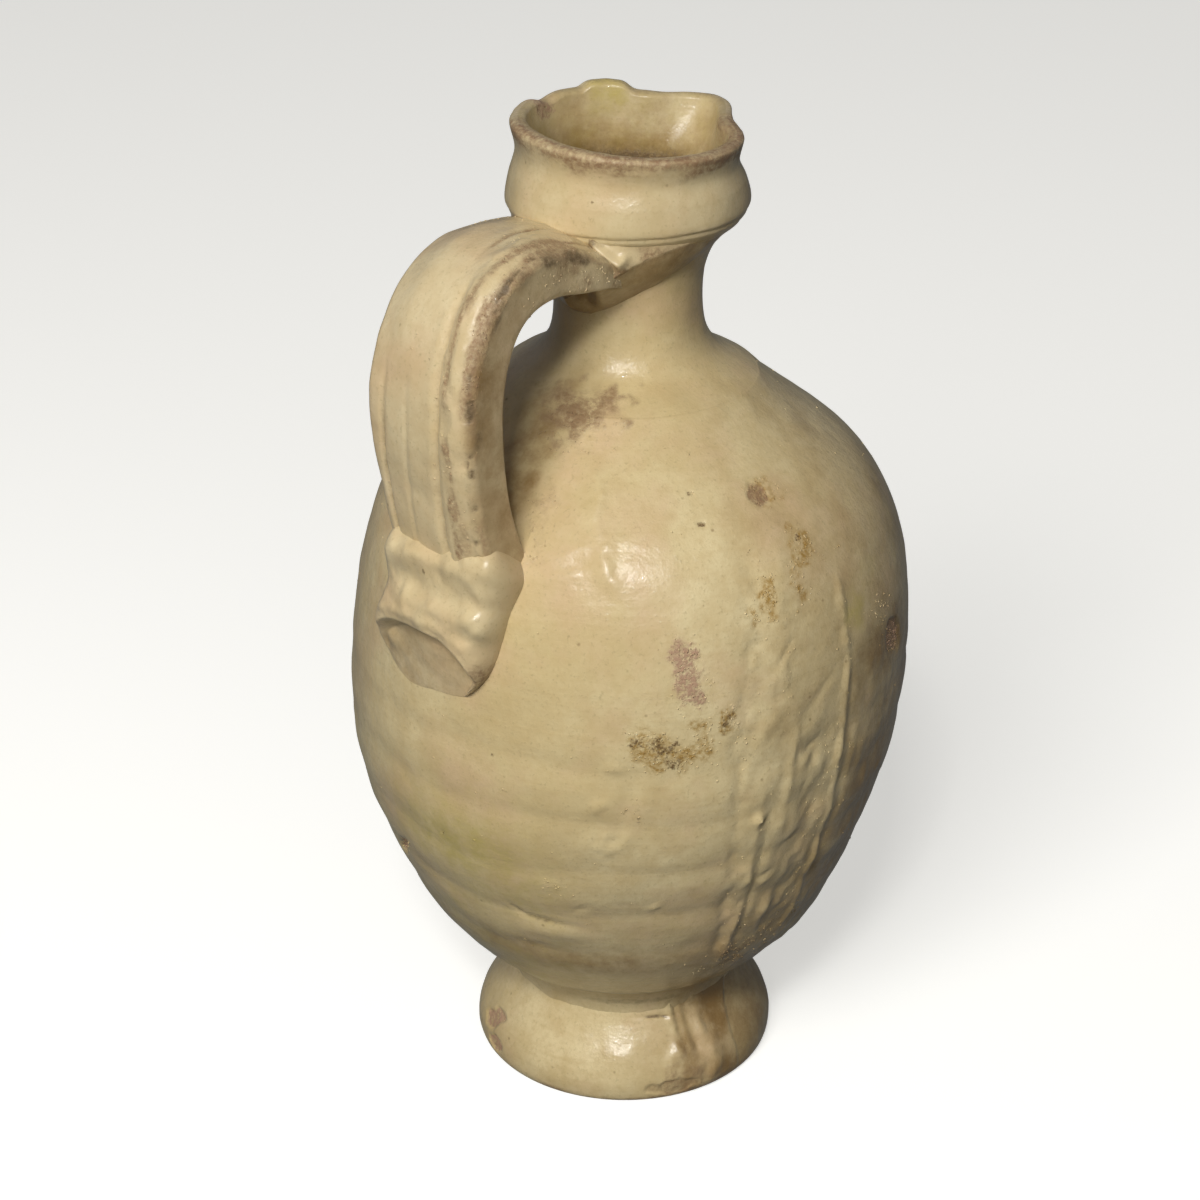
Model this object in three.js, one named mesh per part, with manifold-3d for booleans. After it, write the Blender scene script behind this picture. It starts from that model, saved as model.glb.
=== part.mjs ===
// A wheel-thrown, glazed earthenware oil cruet: a full body on a spread foot, a narrow neck, a collared
// mouth pinched to a pouring lip, and one pulled strap handle with a thumb-pressed lower end.
// Each clay member is its own solid, set against its neighbours with a film of slip between them.
// Millimetres, +Z up. The origin is the centre of the foot's flat underside. The handle stands at -X
// and the pouring lip faces +X. Angles on the wall turn from the handle towards -Y.

import * as THREE from "three";
import { mergeVertices } from "three/addons/utils/BufferGeometryUtils.js";
import Module from "manifold-3d";

const wasm = await Module();
wasm.setup();

// Driving height of the whole, from the table to the rim before it leaned and wore
const CRUET_HEIGHT = 247.5;

// Driving dimensions of the wall, shared by every thrown member
const WALL = 5.5;
const SLIP = 0.3;

// Driving dimensions of the foot and of the coil of clay that seals its joint
const FOOT_RADIUS = 38.8;
const FOOT_HEIGHT = 26;
const FOOT_EDGE = 3;
const FOOT_EDGE_ROUND = 1.5;
const FOOT_WAIST_RADIUS = 29;
const FOOT_SWEEP = 9;
const COIL_RADIUS = 2.6;

// Driving dimensions of the body, thrown as a bowl and a dome that meet above the widest level
const BELLY_RADIUS = 69;
const BOWL_RISE = 84;
const BOWL_FLAT_RADIUS = 18;
const BOWL_BASE_SWEEP = 27;
const BOWL_SIDE_SWEEP = 44.5;
const BODY_JOINT_RISE = 24;
const SHOULDER_SIDE_SWEEP = 59;
const SHOULDER_TOP_SWEEP = 20;

// Driving dimensions of the neck
const NECK_FOOT_RADIUS = 30.8;
const NECK_RISE = 19;
const NECK_RADIUS = 17.5;
const NECK_FOOT_SWEEP_IN = 6.5;
const NECK_FOOT_SWEEP_UP = 4.5;
const NECK_WAIST_SWEEP = 14.5;
const FLARE_RISE = 20;
const FLARE_SWEEP = 3;

// Driving dimensions of the collar, its pouring lip and its worn rim
const COLLAR_FOOT_RADIUS = 26.2;
const COLLAR_HEIGHT = 21.5;
const BEAD_RADIUS = 28.5;
const BEAD_RISE = 4.6;
const BEAD_UNDERCUT = 0.5;
const BEAD_SLOPE = 0.9;
const COLLAR_WAIST_RADIUS = 26;
const COLLAR_WAIST_RISE = 14.6;
const RIM_RADIUS = 27.1;
const RIM_WALL = 4;
const RIM_ROUND = 1.2;
const LIP_TURN = 180;
const LIP_PUSH = 6;
const LIP_PINCH = 1.4;
const LIP_SPREAD = 17;
const LIP_PINCH_TURN = 34;
const RIM_TILT = 1.9;
const RIM_TILT_TURN = -64;
const TAB_HEIGHT = 1.8;
const TAB_TURN = -127;
const TAB_SPREAD = 13;
const CHIP_DEPTH = 1.4;
const CHIP_TURN = -87;
const CHIP_SPREAD = 8;

// Driving dimensions of the strap handle
const STRAP_WIDTH = 32;
const STRAP_ROOT_WIDTH = 25;
const STRAP_THICKNESS = 11.5;
const STRAP_ROOT_THICKNESS = 12;
const STRAP_END_THICKNESS = 9;
const STRAP_ROOT_SHARE = 0.3;
const STRAP_END_SHARE = 0.35;
const STRAP_EDGE = 2;
const STRAP_CROWN = 1.2;
const STRAP_ROOT_ROLL = 5;
const GROOVE_DEPTH = 1.1;
const GROOVE_WIDTH = 1.7;
const GROOVE_PLACES = [-11, 5.8, 12];
const HANDLE_OVERHANG = 1.5;
const HANDLE_DROP = 33.5;
const ROOT_DROP = 9.4;
const ROOT_SINK = 4;
const ROOT_SWEEP_OUT = 43.9;
const ROOT_SWEEP_UP = 23.5;
const CROWN_SWEEP = 19.4;
const TAIL_SWEEP_SHARE = 0.52;
const TAIL_LEAN = 4;
const TAIL_END_SHARE = 0.285;
const TAIL_SINK = 6.5;

// Driving dimensions of the thumb-pressed pad at the handle's lower end, hung below the neck's foot
const PAD_DROP = 42.25;
const PAD_HALF_HEIGHT = 18.25;
const PAD_LEFT = 19.5;
const PAD_RIGHT = 17;
const PAD_RIGHT_SPREAD = 4;
const PAD_THICKNESS = 8.2;
const PAD_TOP_THINNING = 2.8;
const PAD_TOP_SHARE = 0.65;
const PAD_RIGHT_THINNING = 2;
const PAD_EDGE = 5.2;
const PAD_SKIN = 1.2;
const PAD_CORNER_CUT = 0.16;
const PAD_SQUARENESS = 5;
const PAD_END_BOW = 3;
const PAD_SLANT = 0.07;
const STRAP_LAP = 8.5;
const THUMB_MIDDLE = -3;
const THUMB_HALF_WIDTH = 16.5;
const THUMB_RISE = 15.5;
const THUMB_SILL = 1.5;
const THUMB_FLOOR = 1.4;
const THUMB_FLOOR_RISE = 3.4;
const THUMB_SQUARENESS = 2.6;
const THUMB_LIP = 0.86;

// Driving dimensions of the wad of clay worked round the neck from the strap's root
const WAD_BACK_TURN = 76;
const WAD_FRONT_TURN = 92;
const WAD_TOP_ABOVE_NECK = 2.6;
const WAD_FOOT_DROP = 0.5;
const WAD_FOOT_TURN = 14;
const WAD_CLIMB = 0.16;
const WAD_LEDGE_BELOW = 6.5;
const WAD_LEDGE_RISE = 9.2;
const WAD_LEDGE_TURN = 33;
const WAD_LEDGE_EASE = 28;
const WAD_LEDGE_DIP = 0.26;
const WAD_LEDGE_RADIUS = 26.6;
const WAD_LEDGE_SHARE = 0.6;
const WAD_FILLET = 3.6;
const WAD_FILLET_START = 24;
const WAD_FILLET_END = 46;
const WAD_NOSE_RADIUS = 22;
const WAD_NOSE_START = 14;
const WAD_NOSE_END = 29;

// Facet counts
const TURN_STEPS = 40;
const MOUTH_STEPS = 60;
const BODY_STEPS = 8;
const NECK_STEPS = 5;
const COLLAR_STEPS = 10;
const FOOT_STEPS = 7;
const COIL_STEPS = 8;
const STRAP_STEPS = 24;
const FACE_STEPS = 16;
const PAD_STEPS = 20;
const WAD_STEPS = 28;
const WAD_ROWS = 5;

// Heights of the joints: the body stands on the foot, and the neck and collar hang from the rim
const BELLY_Z = FOOT_HEIGHT + BOWL_RISE;
const BODY_JOINT_Z = BELLY_Z + BODY_JOINT_RISE;
const RIM_Z = CRUET_HEIGHT;
const COLLAR_Z = RIM_Z - COLLAR_HEIGHT;
const NECK_WAIST_Z = COLLAR_Z - FLARE_RISE;
const NECK_FOOT_Z = NECK_WAIST_Z - NECK_RISE;
const PAD_Z = NECK_FOOT_Z - PAD_DROP;

const MERGE_DISTANCE = 0.0001;
const FULL_TURN = 360;
const DEGREE = 2 * Math.PI / FULL_TURN;

// The body's outer line, from the axis under the bowl to the neck's foot
function bodyLine() {
  const line = new THREE.Path();
  line.moveTo(0, FOOT_HEIGHT);
  line.lineTo(BOWL_FLAT_RADIUS, FOOT_HEIGHT);
  line.bezierCurveTo(
    BOWL_FLAT_RADIUS + BOWL_BASE_SWEEP, FOOT_HEIGHT,
    BELLY_RADIUS, BELLY_Z - BOWL_SIDE_SWEEP,
    BELLY_RADIUS, BELLY_Z,
  );
  line.bezierCurveTo(
    BELLY_RADIUS, BELLY_Z + SHOULDER_SIDE_SWEEP,
    NECK_FOOT_RADIUS + SHOULDER_TOP_SWEEP, NECK_FOOT_Z - SHOULDER_TOP_SWEEP,
    NECK_FOOT_RADIUS, NECK_FOOT_Z,
  );
  return line.getPoints(BODY_STEPS);
}

// The neck's outer line, from the shoulder in to its waist and out to the collar's foot
function neckLine() {
  const line = new THREE.Path();
  line.moveTo(NECK_FOOT_RADIUS, NECK_FOOT_Z);
  line.bezierCurveTo(
    NECK_FOOT_RADIUS - NECK_FOOT_SWEEP_IN, NECK_FOOT_Z + NECK_FOOT_SWEEP_UP,
    NECK_RADIUS, NECK_WAIST_Z - NECK_WAIST_SWEEP,
    NECK_RADIUS, NECK_WAIST_Z,
  );
  line.bezierCurveTo(
    NECK_RADIUS, NECK_WAIST_Z + NECK_WAIST_SWEEP,
    COLLAR_FOOT_RADIUS - FLARE_SWEEP, COLLAR_Z - FLARE_SWEEP,
    COLLAR_FOOT_RADIUS, COLLAR_Z,
  );
  return line.getPoints(NECK_STEPS);
}

// The collar's outer line: a low bead with a quick undercut, a slow slope in to its waist and the rim
function collarLine() {
  const line = new THREE.SplineCurve([
    new THREE.Vector2(COLLAR_FOOT_RADIUS, COLLAR_Z),
    new THREE.Vector2(BEAD_RADIUS - BEAD_UNDERCUT, COLLAR_Z + BEAD_RISE / 2),
    new THREE.Vector2(BEAD_RADIUS, COLLAR_Z + BEAD_RISE),
    new THREE.Vector2(BEAD_RADIUS - BEAD_SLOPE, COLLAR_Z + 2 * BEAD_RISE),
    new THREE.Vector2(COLLAR_WAIST_RADIUS, COLLAR_Z + COLLAR_WAIST_RISE),
    new THREE.Vector2(RIM_RADIUS, RIM_Z - RIM_ROUND),
  ]);
  return line.getPoints(COLLAR_STEPS);
}

// A line moved square to itself: outwards where the distance is positive, into the clay where negative
function moved(line, distance) {
  return line.map((point, i) => {
    const before = line[Math.max(i - 1, 0)];
    const after = line[Math.min(i + 1, line.length - 1)];
    const along = after.clone().sub(before).normalize();
    const radius = point.x === 0 ? 0 : point.x + along.y * distance;
    return new THREE.Vector2(Math.max(radius, 0), point.y - along.x * distance);
  });
}

// The stretch of a rising line between two heights
function between(line, low, high) {
  const stretch = line.filter((point) => point.y > low && point.y < high);
  const first = new THREE.Vector2(radiusOn(line, low), low);
  const last = new THREE.Vector2(radiusOn(line, high), high);
  return [first, ...stretch, last];
}

// The height at which a widening line reaches one radius
function heightOn(line, radius) {
  const outer = line.findIndex((point) => point.x >= radius);
  const before = line[outer - 1];
  const after = line[outer];
  return THREE.MathUtils.mapLinear(radius, before.x, after.x, before.y, after.y);
}

// The radius of a rising line at one height
function radiusOn(line, height) {
  const upper = line.findIndex((point) => point.y >= height);
  if (upper <= 0) {
    return line[upper === 0 ? 0 : line.length - 1].x;
  }
  const below = line[upper - 1];
  const above = line[upper];
  return THREE.MathUtils.mapLinear(height, below.y, above.y, below.x, above.x);
}

const outerWall = [...bodyLine(), ...neckLine().slice(1)];
const innerWall = moved(outerWall, -WALL);
const outerCollar = collarLine();

// A closed profile turned about the upright axis
function turned(profile, steps) {
  const geometry = new THREE.LatheGeometry(profile, steps);
  geometry.rotateX(Math.PI / 2);
  return geometry;
}

// A ring of wall between an outer and an inner line, both rising
function ringOf(outer, inner, steps) {
  return turned([...outer, ...inner.toReversed(), outer[0]], steps);
}

function toSolid(geometry) {
  const bare = geometry.clone();
  bare.deleteAttribute("normal");
  bare.deleteAttribute("uv");
  const merged = mergeVertices(bare, MERGE_DISTANCE);
  const triVerts = Uint32Array.from(merged.index.array);
  const vertProperties = merged.attributes.position.array;
  return new wasm.Manifold(new wasm.Mesh({ numProp: 3, vertProperties, triVerts }));
}

function toGeometry(solid) {
  const mesh = solid.getMesh();
  const geometry = new THREE.BufferGeometry();
  geometry.setAttribute("position", new THREE.BufferAttribute(mesh.vertProperties, 3));
  geometry.setIndex(new THREE.BufferAttribute(mesh.triVerts, 1));
  geometry.computeVertexNormals();
  return geometry;
}

function cutBy(geometry, ...tools) {
  return toGeometry(tools.reduce((solid, tool) => solid.subtract(tool), toSolid(geometry)));
}

// A point beside the axis: its distance out, its turn from the handle in radians and its height
function around(radius, turn, height) {
  return new THREE.Vector3(-radius * Math.cos(turn), -radius * Math.sin(turn), height);
}

// A point in the handle's own plane, moved aside across the strap
function onHandle(out, aside, height) {
  return new THREE.Vector3(-out, -aside, height);
}

// The whole vessel, filled and grown by the slip, which cuts whatever is luted to it
function vesselTool() {
  const skin = moved([...outerWall, ...outerCollar.slice(1)], SLIP);
  const top = new THREE.Vector2(0, skin.at(-1).y);
  return toSolid(turned([...skin, top], TURN_STEPS));
}

// The foot's line, from the axis on the table up to a top that the bowl cuts to its seat
function footLine() {
  const line = new THREE.Path();
  line.moveTo(0, 0);
  line.lineTo(FOOT_RADIUS - FOOT_EDGE_ROUND, 0);
  line.quadraticCurveTo(FOOT_RADIUS, 0, FOOT_RADIUS, FOOT_EDGE);
  line.bezierCurveTo(
    FOOT_RADIUS, FOOT_EDGE + FOOT_SWEEP,
    FOOT_WAIST_RADIUS, FOOT_HEIGHT - FOOT_SWEEP,
    FOOT_WAIST_RADIUS, FOOT_HEIGHT,
  );
  line.lineTo(FOOT_WAIST_RADIUS, BELLY_Z);
  line.lineTo(0, BELLY_Z);
  return line.getPoints(FOOT_STEPS);
}

// The coil, laid in the corner where the foot's waist meets the bowl
function footCoil() {
  const section = new THREE.Path();
  const corner = heightOn(outerWall, FOOT_WAIST_RADIUS);
  section.absarc(FOOT_WAIST_RADIUS, corner, COIL_RADIUS, 0, 2 * Math.PI);
  return turned(section.getPoints(COIL_STEPS), TURN_STEPS);
}

function lowerBowl() {
  const outer = outerWall.filter((point) => point.y < BODY_JOINT_Z);
  const inner = innerWall.filter((point) => point.y < BODY_JOINT_Z);
  outer.push(new THREE.Vector2(radiusOn(outerWall, BODY_JOINT_Z), BODY_JOINT_Z));
  inner.push(new THREE.Vector2(radiusOn(innerWall, BODY_JOINT_Z), BODY_JOINT_Z));
  return turned([...outer, ...inner.toReversed()], TURN_STEPS);
}

function shoulderDome() {
  const low = BODY_JOINT_Z + SLIP;
  return ringOf(between(outerWall, low, NECK_FOOT_Z), between(innerWall, low, NECK_FOOT_Z), TURN_STEPS);
}

function neck() {
  const low = NECK_FOOT_Z + SLIP;
  return ringOf(between(outerWall, low, COLLAR_Z), between(innerWall, low, COLLAR_Z), TURN_STEPS);
}

// How far a turn lies from a feature, in spreads, the short way round
function spreadsAway(turn, place, spread) {
  const apart = THREE.MathUtils.euclideanModulo(turn / DEGREE - place, FULL_TURN);
  return (apart > FULL_TURN / 2 ? apart - FULL_TURN : apart) / spread;
}

function bump(spreads) {
  return Math.exp(-spreads * spreads);
}

// A flat-topped bump with steep flanks
function step(spreads) {
  return Math.exp(-(spreads ** 6));
}

// The rim leans, keeps one raised tab of its old edge, has lost a chip and runs out to a pinched lip
function wearMouth(geometry) {
  const places = geometry.attributes.position;
  for (let i = 0; i < places.count; i += 1) {
    const point = new THREE.Vector3().fromBufferAttribute(places, i);
    const share = THREE.MathUtils.smoothstep(point.z, COLLAR_Z + BEAD_RISE, RIM_Z);
    const edge = THREE.MathUtils.smoothstep(point.z, COLLAR_Z + COLLAR_WAIST_RISE, RIM_Z - RIM_ROUND);
    const turn = Math.atan2(-point.y, -point.x);
    const fromLip = spreadsAway(turn, LIP_TURN, LIP_SPREAD);
    const fromPinch = Math.abs(fromLip) - LIP_PINCH_TURN / LIP_SPREAD;
    const push = LIP_PUSH * bump(fromLip) - LIP_PINCH * bump(fromPinch);
    const radius = Math.hypot(point.x, point.y) + push * share;
    const lean = RIM_TILT * Math.cos(turn - RIM_TILT_TURN * DEGREE);
    const tab = TAB_HEIGHT * step(spreadsAway(turn, TAB_TURN, TAB_SPREAD));
    const chip = CHIP_DEPTH * bump(spreadsAway(turn, CHIP_TURN, CHIP_SPREAD));
    const worn = around(radius, turn, point.z + lean * share + (tab - chip) * edge);
    places.setXYZ(i, worn.x, worn.y, worn.z);
  }
  return geometry;
}

function collar() {
  const low = COLLAR_Z + SLIP;
  const inner = new THREE.SplineCurve([
    new THREE.Vector2(radiusOn(innerWall, low), low),
    new THREE.Vector2(COLLAR_WAIST_RADIUS - WALL, COLLAR_Z + BEAD_RISE),
    new THREE.Vector2(COLLAR_WAIST_RADIUS - RIM_WALL, COLLAR_Z + COLLAR_WAIST_RISE),
    new THREE.Vector2(RIM_RADIUS - RIM_WALL, RIM_Z - RIM_ROUND),
  ]);
  const crest = new THREE.Vector2(RIM_RADIUS - RIM_WALL / 2, RIM_Z);
  const outer = [...between(outerCollar, low, RIM_Z - RIM_ROUND), crest];
  return wearMouth(ringOf(outer, inner.getPoints(COLLAR_STEPS), MOUTH_STEPS));
}

// The middle of the strap in its own plane: out from under the collar, over and down to the body
function strapPath() {
  const reach = BELLY_RADIUS + HANDLE_OVERHANG - STRAP_THICKNESS / 2;
  const reachHeight = COLLAR_Z - HANDLE_DROP;
  const rootHeight = COLLAR_Z - ROOT_DROP;
  const rootOut = NECK_RADIUS - ROOT_SINK;
  const endHeight = PAD_Z + PAD_HALF_HEIGHT - STRAP_LAP;
  const endOut = radiusOn(outerWall, endHeight) - TAIL_SINK;
  const drop = reachHeight - endHeight;
  const path = new THREE.Path();
  path.moveTo(rootOut, rootHeight);
  path.bezierCurveTo(
    rootOut + ROOT_SWEEP_OUT, rootHeight + ROOT_SWEEP_UP,
    reach, reachHeight + CROWN_SWEEP,
    reach, reachHeight,
  );
  path.bezierCurveTo(
    reach, reachHeight - TAIL_SWEEP_SHARE * drop,
    endOut + TAIL_LEAN, endHeight + TAIL_END_SHARE * drop,
    endOut, endHeight,
  );
  return path;
}

// The strap's section as pairs of distance aside and distance outwards: a crowned outer face with the
// long grooves of the fingers that pulled it, and a plain inner face, both with softened edges.
// Near the root the outer face rolls down towards its front edge.
function strapSection(width, thickness, roll) {
  const half = width / 2;
  const flat = half - STRAP_EDGE;
  const outer = [];
  const inner = [];
  for (let i = 0; i <= FACE_STEPS; i += 1) {
    const aside = THREE.MathUtils.lerp(-flat, flat, i / FACE_STEPS);
    const crown = STRAP_CROWN * (1 - (aside / half) ** 2) - roll * THREE.MathUtils.smoothstep(aside, 0, half);
    const grooves = GROOVE_PLACES.map((place) => GROOVE_DEPTH * bump((aside - place) / GROOVE_WIDTH));
    const face = grooves.reduce((level, groove) => level - groove, thickness / 2 + crown);
    outer.push([aside, face]);
  }
  inner.push([half, thickness / 2 - STRAP_EDGE - roll]);
  inner.push([half, STRAP_EDGE - thickness / 2]);
  inner.push([flat, -thickness / 2]);
  inner.push([-flat, -thickness / 2]);
  inner.push([-half, STRAP_EDGE - thickness / 2]);
  inner.push([-half, thickness / 2 - STRAP_EDGE]);
  return [...outer, ...inner];
}

// Closed sections joined in a row, with both ends capped from their middles
function lofted(sections) {
  const count = sections[0].length;
  const points = sections.flat();
  const faces = [];
  for (let ring = 0; ring < sections.length - 1; ring += 1) {
    for (let i = 0; i < count; i += 1) {
      const here = ring * count + i;
      const next = ring * count + (i + 1) % count;
      faces.push(here, next + count, next, here, here + count, next + count);
    }
  }
  const lastRing = (sections.length - 1) * count;
  const firstMiddle = points.length;
  const lastMiddle = firstMiddle + 1;
  points.push(middleOf(sections[0]), middleOf(sections.at(-1)));
  for (let i = 0; i < count; i += 1) {
    const next = (i + 1) % count;
    faces.push(firstMiddle, i, next);
    faces.push(lastMiddle, lastRing + next, lastRing + i);
  }
  return new THREE.BufferGeometry().setFromPoints(points).setIndex(faces);
}

function middleOf(points) {
  return points.reduce((sum, point) => sum.add(point), new THREE.Vector3()).divideScalar(points.length);
}

// The strap from root to tail, grown all round by a clearance where it cuts its neighbours
function strap(clearance) {
  const path = strapPath();
  const sections = [];
  for (let i = 0; i <= STRAP_STEPS; i += 1) {
    const share = i / STRAP_STEPS;
    const middle = path.getPointAt(share);
    const along = path.getTangentAt(share);
    const rooted = 1 - THREE.MathUtils.smoothstep(share, 0, STRAP_ROOT_SHARE);
    const ended = THREE.MathUtils.smoothstep(share, 1 - STRAP_END_SHARE, 1);
    const thinned = THREE.MathUtils.lerp(STRAP_THICKNESS, STRAP_END_THICKNESS, ended);
    const thickness = THREE.MathUtils.lerp(thinned, STRAP_ROOT_THICKNESS, rooted) + 2 * clearance;
    const width = THREE.MathUtils.lerp(STRAP_WIDTH, STRAP_ROOT_WIDTH, rooted) + 2 * clearance;
    const section = strapSection(width, thickness, STRAP_ROOT_ROLL * rooted);
    sections.push(section.map(([aside, out]) => {
      return onHandle(middle.x - along.y * out, aside, middle.y + along.x * out);
    }));
  }
  return lofted(sections);
}

// A point on the vessel's wall, lifted square to it
function onWall(turn, height, lift) {
  const line = [...outerWall, ...outerCollar.slice(1)];
  const radius = radiusOn(line, height);
  const slope = radiusOn(line, height + SLIP) - radiusOn(line, height - SLIP);
  const square = new THREE.Vector2(2 * SLIP, -slope).normalize().multiplyScalar(lift);
  return around(radius + square.x, turn, height + square.y);
}

// A closed sheet of clay. place gives its face and its back at a point of the sheet, whose two
// coordinates run from -1 to 1, rightwards and upwards as seen from outside.
function appliedSheet(columns, rows, place) {
  const layers = [[], []];
  for (let j = 0; j <= rows; j += 1) {
    for (let i = 0; i <= columns; i += 1) {
      const spot = place(2 * i / columns - 1, 2 * j / rows - 1);
      layers[0].push(spot.face);
      layers[1].push(spot.back);
    }
  }
  const wide = columns + 1;
  const under = wide * (rows + 1);
  const faces = [];
  for (let j = 0; j < rows; j += 1) {
    for (let i = 0; i < columns; i += 1) {
      const low = j * wide + i;
      const high = low + wide;
      faces.push(low, low + 1, high + 1, low, high + 1, high);
      faces.push(under + low, under + high + 1, under + low + 1, under + low, under + high, under + high + 1);
    }
  }
  const border = [];
  for (let i = 0; i < columns; i += 1) {
    border.push(i);
  }
  for (let j = 0; j < rows; j += 1) {
    border.push(j * wide + columns);
  }
  for (let i = columns; i > 0; i -= 1) {
    border.push(rows * wide + i);
  }
  for (let j = rows; j > 0; j -= 1) {
    border.push(j * wide);
  }
  border.forEach((here, k) => {
    const next = border[(k + 1) % border.length];
    faces.push(next, here, under + here, next, under + here, under + next);
  });
  return new THREE.BufferGeometry().setFromPoints(layers.flat()).setIndex(faces);
}

// A quarter-round rise from an edge, full at a given distance in from it
function roundedFrom(distance) {
  const short = 1 - Math.min(distance / PAD_EDGE, 1);
  return Math.sqrt(1 - short * short);
}

// How far a point of the pad lies from the middle of the thumb's hollow: 1 at the hollow's arched edge
function fromThumb(aside, up) {
  const across = Math.abs(aside - THUMB_MIDDLE) / THUMB_HALF_WIDTH;
  const above = Math.max(up + PAD_HALF_HEIGHT - THUMB_SILL, 0) / THUMB_RISE;
  return (across ** THUMB_SQUARENESS + above ** THUMB_SQUARENESS) ** (1 / THUMB_SQUARENESS);
}

// The pad: a slab wider above, thinned at its top and front, and pressed hollow below by a thumb
function pad() {
  const bodyRadius = radiusOn(outerWall, PAD_Z);
  return appliedSheet(PAD_STEPS, PAD_STEPS, (p, q) => {
    const right = PAD_RIGHT + PAD_RIGHT_SPREAD * q;
    const middle = (right - PAD_LEFT) / 2;
    const half = (right + PAD_LEFT) / 2;
    const aside = middle + half * p * (1 - PAD_CORNER_CUT * Math.abs(q) ** PAD_SQUARENESS);
    const slant = PAD_SLANT * aside * (1 - q) / 2;
    const up = PAD_HALF_HEIGHT * q + slant - PAD_END_BOW * q * Math.abs(p) ** PAD_SQUARENESS;
    const fromSide = roundedFrom(half * (1 - Math.abs(p)));
    const fromEnd = roundedFrom(PAD_HALF_HEIGHT * (1 - Math.abs(q)));
    const topThinned = PAD_TOP_THINNING * THREE.MathUtils.smoothstep(q, PAD_TOP_SHARE, 1);
    const sideThinned = PAD_RIGHT_THINNING * THREE.MathUtils.smoothstep(aside, right / 2, right);
    const full = (PAD_THICKNESS - topThinned - sideThinned) * fromSide * fromEnd;
    const rise = THREE.MathUtils.clamp((up + PAD_HALF_HEIGHT) / THUMB_RISE, 0, 1);
    const pressed = Math.min(THUMB_FLOOR + THUMB_FLOOR_RISE * rise, full);
    const hollow = 1 - THREE.MathUtils.smoothstep(fromThumb(aside, up), THUMB_LIP, 1);
    const thickness = Math.max(THREE.MathUtils.lerp(full, pressed, hollow), PAD_SKIN);
    const turn = aside / bodyRadius;
    const height = PAD_Z + up;
    return { face: onWall(turn, height, thickness), back: onWall(turn, height, -WALL / 2) };
  });
}

// The height of the wad's ledge: it goes on from the strap's lower edge and climbs to the collar
function ledgeHeight(away) {
  const past = Math.max(away - WAD_LEDGE_TURN, 0);
  const short = Math.max(WAD_LEDGE_TURN - away, 0);
  const climbed = WAD_LEDGE_RISE * (1 - Math.exp(-past / WAD_LEDGE_EASE));
  return COLLAR_Z - WAD_LEDGE_BELOW + climbed - WAD_LEDGE_DIP * short;
}

// The radius of the wad's ledge: a nose under the strap, a fillet at the strap's side, then even
function ledgeRadius(away) {
  const filled = 1 - THREE.MathUtils.smoothstep(away, WAD_FILLET_START, WAD_FILLET_END);
  const clear = THREE.MathUtils.smoothstep(away, WAD_NOSE_START, WAD_NOSE_END);
  return THREE.MathUtils.lerp(WAD_NOSE_RADIUS, WAD_LEDGE_RADIUS + WAD_FILLET * filled, clear);
}

// The wad: clay worked round the neck from the strap's root, a ledge that climbs under the collar
function rootWad() {
  const halfSweep = (WAD_FRONT_TURN + WAD_BACK_TURN) / 2;
  const middleTurn = (WAD_FRONT_TURN - WAD_BACK_TURN) / 2;
  const top = new THREE.Vector2(BEAD_RADIUS - 2 * BEAD_UNDERCUT, COLLAR_Z + WAD_TOP_ABOVE_NECK);
  return appliedSheet(WAD_STEPS, WAD_ROWS, (p, q) => {
    const degrees = middleTurn + halfSweep * p;
    const away = Math.abs(degrees);
    const turn = degrees * DEGREE;
    const low = NECK_WAIST_Z - WAD_FOOT_DROP + WAD_CLIMB * Math.max(away - WAD_FOOT_TURN, 0);
    const bottom = new THREE.Vector2(radiusOn(outerWall, low) - SLIP, low);
    const ledge = new THREE.Vector2(ledgeRadius(away), ledgeHeight(away));
    const share = (q + 1) / 2;
    const under = share / WAD_LEDGE_SHARE;
    const over = (share - WAD_LEDGE_SHARE) / (1 - WAD_LEDGE_SHARE);
    const spot = under < 1 ? bottom.lerp(ledge, under) : ledge.lerp(top, over);
    const core = radiusOn(outerWall, spot.y) - WALL / 2;
    return { face: around(spot.x, turn, spot.y), back: around(core, turn, spot.y) };
  });
}

const vessel = vesselTool();
const footGrown = toSolid(turned(moved(footLine(), SLIP), TURN_STEPS));
const strapGrown = toSolid(strap(SLIP));

const CREAM_GLAZE = 0xc8b68c;
const WORN_GLAZE = 0xa98f68;
const DULL_GLAZE = 0xb39f74;

const cruet = new THREE.Group();

function add(name, geometry, color, roughness) {
  const mesh = new THREE.Mesh(geometry, new THREE.MeshStandardMaterial({ color, roughness, metalness: 0 }));
  mesh.name = name;
  cruet.add(mesh);
}

add("foot", cutBy(turned(footLine(), TURN_STEPS), vessel), DULL_GLAZE, 0.35);
add("foot_coil", cutBy(footCoil(), vessel, footGrown), WORN_GLAZE, 0.4);
add("lower_bowl", lowerBowl(), CREAM_GLAZE, 0.25);
add("shoulder_dome", shoulderDome(), CREAM_GLAZE, 0.22);
add("neck", neck(), CREAM_GLAZE, 0.25);
add("collar", collar(), CREAM_GLAZE, 0.28);
add("handle_strap", cutBy(strap(0), vessel), CREAM_GLAZE, 0.25);
add("handle_pad", cutBy(pad(), vessel, strapGrown), CREAM_GLAZE, 0.25);
add("root_wad", cutBy(rootWad(), vessel, strapGrown), WORN_GLAZE, 0.35);

export default cruet;
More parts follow.
